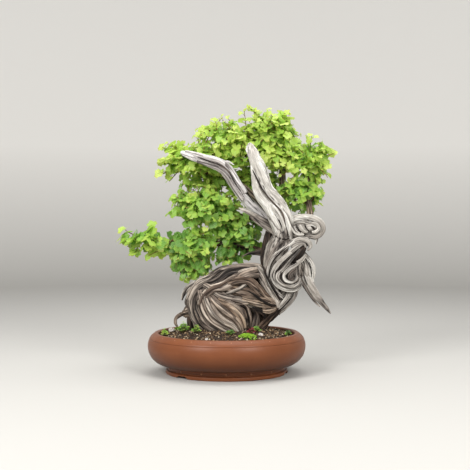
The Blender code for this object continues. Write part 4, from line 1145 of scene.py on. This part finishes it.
def foot_lift(turn, radius, z):
    """Raises the underside of the foot into a low arch at three places."""
    if z > 0.0072 or radius < FOOT - 0.0145:
        return z
    for arch in ARCHES:
        off = (turn - math.radians(arch) + math.pi) % (2 * math.pi) - math.pi
        share = abs(off) * radius / ARCH_HALF
        if share < 1:
            rise = ARCH_RISE * min(1.0, 3.2 * (1 - share))
            return max(z, rise + z * 0.12)
    return z


def make_pot():
    clay = clay_material()
    belly_r = (POT_H - BAND_DROP - NECK_H) * 0.71
    belly = (POT_R - belly_r, NECK_H + belly_r)
    neck = FOOT - 0.0055
    band_r, band_z = arc(*belly, belly_r, BAND_ANGLE, BAND_ANGLE, 1)[0]
    outline = [(0, 0.0090), (FOOT - 0.0145, 0.0090), (FOOT - 0.0143, 0.0010)]
    outline += arc(FOOT - 0.0133, 0.0010, 0.0010, 180, 270, 3)[1:]
    outline += [(FOOT - 0.008, 0.0)] + arc(FOOT - 0.0022, 0.0022, 0.0022, -90, 0, 5)
    outline += arc(FOOT - 0.0022, 0.0060, 0.0022, 0, 90, 5)
    outline += [
        (neck + 0.0008, 0.0084), (neck, 0.0092), (neck, 0.0140), (neck, 0.0168), (neck + 0.0004, 0.0180),
    ]
    outline += arc(*belly, belly_r, -82, BAND_ANGLE, 34)
    outline += [
        (band_r - 0.0010, band_z + 0.0006), (band_r - 0.0013, band_z + 0.0013),
        (band_r - 0.0008, band_z + 0.0021),
    ]
    outline += [
        (band_r - 0.0010, band_z + 0.0030), (band_r - 0.0035, band_z + 0.0062),
        (band_r - 0.0062, band_z + 0.0088),
    ]
    outline += arc(MOUTH + 0.0075, POT_H - 0.0026, 0.0026, 55, 90, 3)
    outline += arc(MOUTH + 0.0030, POT_H - 0.0030, 0.0030, 90, 180, 5)
    outline += [(MOUTH, POT_H - 0.0045), (MOUTH, POT_H - 0.0085)]
    outline += arc(*belly, belly_r - WALL, 35, -75, 10)
    outline += [(belly[0] - 0.012, FLOOR_TOP), (0, FLOOR_TOP)]
    pot = lathe("pot_clay", outline, 288, clay, foot_lift)
    heads = []
    for k in range(FOOT_HEADS):
        heads.append((2 * math.pi * k / FOOT_HEADS, neck, 0.0132, 0))
    for k in range(BAND_HEADS):
        turn = 2 * math.pi * k / BAND_HEADS + math.radians(3.75)
        heads.append((turn, MOUTH + 0.0127, POT_H - 0.0048, 48))
    points = []
    for turn, radius, z, lean in heads:
        out = Vector((math.sin(turn), -math.cos(turn), 0))
        normal = out * math.cos(math.radians(lean)) + Vector((0, 0, math.sin(math.radians(lean))))
        at = POT_AT + out * radius + Vector((0, 0, z))
        points.append((at, aim(Vector((0, 0, 1)).cross(out), normal), HEAD_SIZE, 0, 0.5))
    bm = bmesh.new()
    bmesh.ops.create_uvsphere(bm, u_segments=14, v_segments=8, radius=1.0)
    for face in bm.faces:
        face.smooth = True
    shape = finished("nail_head", bm)
    # The nail heads are painted paler than the clay: painted highlight.
    highlight_clay = flat_colour("nail_head_highlight", (0.36, 0.16, 0.085), 0.35)
    studs = scattered("pot_nail_heads", points, [shape] * 3, highlight_clay)
    for piece in (pot, studs):
        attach(piece, "root")
        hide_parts("pot")


# ---- the soil and what grows on it ---------------------------------------------------------------
def soil_height(x, y):
    """The soil's surface over the row frame, in metres."""
    d = math.hypot(x - POT_AT.x, y - POT_AT.y) / (MOUTH - 0.0006)
    line = ((0.0, 1.0), (0.40, 0.95), (0.60, 0.78), (0.74, 0.54), (0.87, 0.24), (0.95, 0.08), (1.0, 0.0))
    rise = float(np.interp(d, [p[0] for p in line], [p[1] for p in line]))
    rough = noise3(np.array([x, y, 0.3]) * 70, 9) * 0.0016 + noise3(np.array([x, y, 0.7]) * 260, 8) * 0.0008
    return POT_H - SOIL_RECESS + SOIL_MOUND * rise + float(rough) * min(1.0, (1.0 - d) * 6)


def flat_colour(name, colour, roughness=0.9, stops=None):
    material = bpy.data.materials.new(name)
    material.use_nodes = True
    nodes, links = material.node_tree.nodes, material.node_tree.links
    shader = nodes["Principled BSDF"]
    shader.inputs["Base Color"].default_value = (*colour, 1)
    shader.inputs["Roughness"].default_value = roughness
    shader.inputs["Specular IOR Level"].default_value = 0.2
    if stops:
        tint = nodes.new("ShaderNodeAttribute")
        tint.attribute_name = "tint"
        bands = nodes.new("ShaderNodeValToRGB")
        colour_stops(bands, stops)
        links.new(tint.outputs["Fac"], bands.inputs[0])
        links.new(bands.outputs[0], shader.inputs["Base Color"])
    return material


def crumb(name, seed):
    bm = bmesh.new()
    bmesh.ops.create_icosphere(bm, subdivisions=1, radius=1.0)
    rng = random.Random(seed)
    for vert in bm.verts:
        vert.co *= rng.uniform(0.6, 1.15)
        vert.co.z *= 0.75
    return finished(name, bm)


def make_soil():
    earth = flat_colour("soil", (0.030, 0.020, 0.014), 0.95)
    bm = bmesh.new()
    segments, rings = 120, 34
    edge = MOUTH - 0.0007
    grid = []
    for i in range(rings + 1):
        radius = edge * i / rings
        if i == 0:
            grid.append([bm.verts.new((POT_AT.x, POT_AT.y, soil_height(POT_AT.x, POT_AT.y)))])
            continue
        ring = []
        for k in range(segments):
            turn = 2 * math.pi * k / segments
            x, y = POT_AT.x + radius * math.sin(turn), POT_AT.y - radius * math.cos(turn)
            ring.append(bm.verts.new((x, y, soil_height(x, y))))
        grid.append(ring)
    base = []
    for k in range(segments):
        turn = 2 * math.pi * k / segments
        x, y = POT_AT.x + edge * math.sin(turn), POT_AT.y - edge * math.cos(turn)
        base.append(bm.verts.new((x, y, POT_H - SOIL_DEPTH)))
    grid.append(base)
    grid.append([bm.verts.new((POT_AT.x, POT_AT.y, POT_H - SOIL_DEPTH))])
    join_rings(bm, grid, segments)
    bed = finished("soil_bed", bm, earth)
    bed.data.shade_smooth()
    bpy.context.scene.collection.objects.link(bed)
    crumbs = [crumb("crumb_a", 1), crumb("crumb_b", 2), crumb("crumb_c", 3)]
    stops = [
        (0.0, (0.018, 0.012, 0.008)), (0.40, (0.060, 0.036, 0.020)), (0.66, (0.150, 0.090, 0.048)),
        (0.86, (0.29, 0.20, 0.115)), (1.0, (0.50, 0.42, 0.30)),
    ]
    grit = flat_colour("soil_crumbs", (0.05, 0.03, 0.02), 0.95, stops=stops)
    rng = random.Random(7)
    points = []
    for _ in range(5200):
        radius, turn = (edge - 0.0028) * math.sqrt(rng.random()), rng.uniform(0, 2 * math.pi)
        if radius < 0.045:
            continue
        x, y = POT_AT.x + radius * math.sin(turn), POT_AT.y - radius * math.cos(turn)
        size = 0.0008 + 0.0022 * rng.random() ** 2.2
        at = Vector((x, y, soil_height(x, y) + size * 0.25))
        spin = Matrix.Rotation(rng.uniform(0, 6.28), 3, "Z") @ Matrix.Rotation(rng.uniform(-1, 1), 3, "X")
        points.append((at, spin, size, rng.randrange(3), min(1, rng.random() ** 1.5 + 0.05)))
    loose = scattered("soil_loose_crumbs", points, crumbs, grit)
    for piece in (bed, loose):
        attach(piece, "root")
        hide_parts("soil")


def tuft():
    """A little star of upright moss leaves, one unit tall."""
    bm = bmesh.new()
    for k in range(6):
        turn = k * math.pi / 3 + 0.2 * (k % 2)
        out = Vector((math.cos(turn), math.sin(turn), 0))
        side = Vector((-out.y, out.x, 0)) * 0.16
        tip = bm.verts.new(out * 0.62 + Vector((0, 0, 0.85)))
        one, two = bm.verts.new(out * 0.12 + side), bm.verts.new(out * 0.12 - side)
        under = bm.verts.new(out * 0.30 + Vector((0, 0, 0.15)))
        for corners in ((one, two, tip), (two, one, under), (one, tip, under), (tip, two, under)):
            bm.faces.new(corners)
    bmesh.ops.recalc_face_normals(bm, faces=bm.faces)
    return finished("moss_tuft", bm)


# seedling: (name, how bright its leaves are, how many leaves)
SPROUTS = (
    ("rim", 0.66, 15), ("left", 0.34, 42), ("middle", 0.46, 22), ("front", 0.10, 20),
    ("red", 0.4, 24), ("right", 0.30, 18), ("edge", 0.16, 18),
)


def make_ground_cover():
    star = tuft()
    moss = flat_colour("moss", (0.2, 0.4, 0.05), 0.85, stops=[
        (0.0, (0.035, 0.105, 0.012)), (0.5, (0.165, 0.360, 0.022)), (1.0, (0.420, 0.640, 0.070)),
    ])
    for name in ("front", "left", "back"):
        low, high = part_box("moss_" + name)
        middle = (low + high) / 2
        bright = 0.72 if name == "front" else 0.42
        rng = random.Random("moss " + name)
        points = []
        for _ in range(520):
            u, v = rng.gauss(0, 0.52), rng.gauss(0, 0.46)
            if u * u + v * v > 1.0:
                continue
            x, y = middle.x + u * (high.x - low.x) / 2, middle.y + v * (high.y - low.y) / 2
            dome = (high.z - low.z) * 0.42 * (1 - (u * u + v * v)) ** 0.5
            size = rng.uniform(0.0016, 0.0028)
            at = Vector((x, y, soil_height(x, y) + dome - size * 0.4))
            lean = Matrix.Rotation(u * 0.6, 3, "Y") @ Matrix.Rotation(-v * 0.6, 3, "X")
            lean = lean @ Matrix.Rotation(rng.uniform(0, 6.28), 3, "Z")
            points.append((at, lean, size, 0, min(1, max(0, bright + rng.gauss(0, 0.16)))))
        piece = scattered("moss_tufts_" + name, points, [star] * 3, moss)
        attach(piece, "root")
        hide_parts("moss_" + name)
    reds = flat_colour("sprout_red", (0.2, 0.03, 0.04), 0.6, stops=[
        (0.0, (0.055, 0.008, 0.012)), (0.6, (0.190, 0.022, 0.035)), (1.0, (0.26, 0.13, 0.06)),
    ])
    for name, bright, count in SPROUTS:
        low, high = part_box("sprout_" + name)
        middle = (low + high) / 2 / MM
        rng = random.Random("sprout " + name)
        store, leaves = Store(), []
        for k in range(count):
            turn, lean = k * 2.4 + rng.uniform(-0.3, 0.3), rng.uniform(0.15, 1.0)
            half = (high.x - low.x) / 2 / MM
            out = Vector((math.cos(turn), math.sin(turn), 0))
            foot = Vector((middle.x, middle.y, 0)) + out * half * 0.35 * lean
            foot.z = soil_height(foot.x * MM, foot.y * MM) / MM - 0.5
            rise = ((high.z - low.z) / MM + 2) * (1.05 - 0.7 * lean) * rng.uniform(0.6, 1)
            top = foot + out * half * 0.55 * lean + Vector((0, 0, rise))
            stem = [foot, foot.lerp(top, 0.5) + Vector((0, 0, 1)), top]
            slim(store, stem, SEEDLING_RADII, SEEDLING_COLOURS, sides=3)
            face = Vector((0, -0.35, 1)) + out * 0.5
            size, kind = rng.uniform(3.4, 5.6) * MM, rng.randrange(3)
            shade = min(1, max(0, bright + rng.gauss(0, 0.18)))
            leaves.append((top * MM, aim(out + Vector((0, 0, 0.15)), face), size, kind, shade))
        stems = store.build("stems_" + name, TWIG)
        piece = scattered("seedling_" + name, leaves, LEAVES, reds if name == "red" else LEAF)
        for part in (stems, piece):
            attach(part, "root")
            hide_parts("sprout_" + name)
    stone = flat_colour("pebble", (0.80, 0.74, 0.69), 0.75)
    for name in ("white", "grey", "small"):
        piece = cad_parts["pebble_" + name]
        piece.data.materials.clear()
        piece.data.materials.append(stone)
        smooth = piece.modifiers.new("round", "SUBSURF")
        smooth.levels = smooth.render_levels = 1


def make_screens():
    """Only gives the screens inside the pot their colour. Their shape is the frame's."""
    plastic = flat_colour("screen", (0.02, 0.03, 0.022), 0.6)
    for number in (1, 2, 3):
        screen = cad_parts["drain_screen_%d" % number]
        screen.data.materials.clear()
        screen.data.materials.append(plastic)


# ---- the stage ---------------------------------------------------------------------------------
def soft_light(name, place, target, size, power, colour=(1, 1, 1)):
    lamp = bpy.data.lights.new(name, "AREA")
    lamp.shape = "RECTANGLE"
    lamp.size, lamp.size_y = size
    lamp.energy = power
    lamp.color = colour
    obj = bpy.data.objects.new(name, lamp)
    obj.location = place
    obj.rotation_euler = (Vector(target) - Vector(place)).to_track_quat("-Z", "Y").to_euler()
    bpy.context.scene.collection.objects.link(obj)


def make_stage():
    pale = flat_colour("stage", (0.44, 0.427, 0.40), 0.9)
    nodes, links = pale.node_tree.nodes, pale.node_tree.links
    place = nodes.new("ShaderNodeTexCoord")
    split = nodes.new("ShaderNodeSeparateXYZ")
    # The backdrop glows, from none at 0.02 m up to 0.34 at 0.7 m and above: painted light, as emission.
    glow = shader_node(nodes, "MapRange", From_Min=0.02, From_Max=0.7, To_Max=0.34)
    links.new(place.outputs["Object"], split.inputs[0])
    links.new(split.outputs["Z"], glow.inputs["Value"])
    shader = nodes["Principled BSDF"].inputs
    shader["Emission Color"].default_value = (1.0, 0.98, 0.94, 1)
    links.new(glow.outputs["Result"], shader["Emission Strength"])
    bm = bmesh.new()
    flat, bend, wall, segments = 2.7, 0.6, 1.7, 96
    profile = [(0.0, 0.0), (0.8, 0.0), (flat, 0.0)]
    angles = [math.radians(9 * k) for k in range(1, 11)]
    profile += [(flat + bend * math.sin(a), bend - bend * math.cos(a)) for a in angles]
    profile += [(flat + bend, wall)]
    rings = []
    for radius, z in profile:
        count = 1 if radius == 0 else segments
        turns = [2 * math.pi * k / segments for k in range(count)]
        rings.append([bm.verts.new((radius * math.sin(t), -radius * math.cos(t), z)) for t in turns])
    join_rings(bm, rings, segments)
    floor = finished("floor", bm, pale)
    floor.data.shade_smooth()
    bpy.context.scene.collection.objects.link(floor)
    world = bpy.data.worlds.new("studio")
    world.use_nodes = True
    world.node_tree.nodes["Background"].inputs["Color"].default_value = (0.95, 0.97, 1.0, 1)
    world.node_tree.nodes["Background"].inputs["Strength"].default_value = 0.54
    bpy.context.scene.world = world
    soft_light("key_left", (-1.3, -1.7, 1.55), (0, 0, 0.25), (0.9, 0.9), 53)
    soft_light("key_right", (1.2, -1.8, 1.35), (0, 0, 0.25), (0.8, 0.8), 36)
    soft_light("top", (0.1, 0.2, 2.0), (0, 0, 0.3), (1.6, 1.6), 34)
    lens = bpy.data.cameras.new("camera")
    lens.sensor_width = 36
    lens.lens = 79.4
    camera = bpy.data.objects.new("camera", lens)
    camera.location = (0.0185, -2.30, 0.359)
    camera.rotation_euler = (math.radians(90 - 1.35), 0, 0)
    bpy.context.scene.collection.objects.link(camera)
    bpy.context.scene.camera = camera
    bpy.context.scene.view_settings.view_transform = "Standard"


make_wood()
make_tree_top()
make_pot()
make_soil()
make_ground_cover()
make_screens()
make_stage()
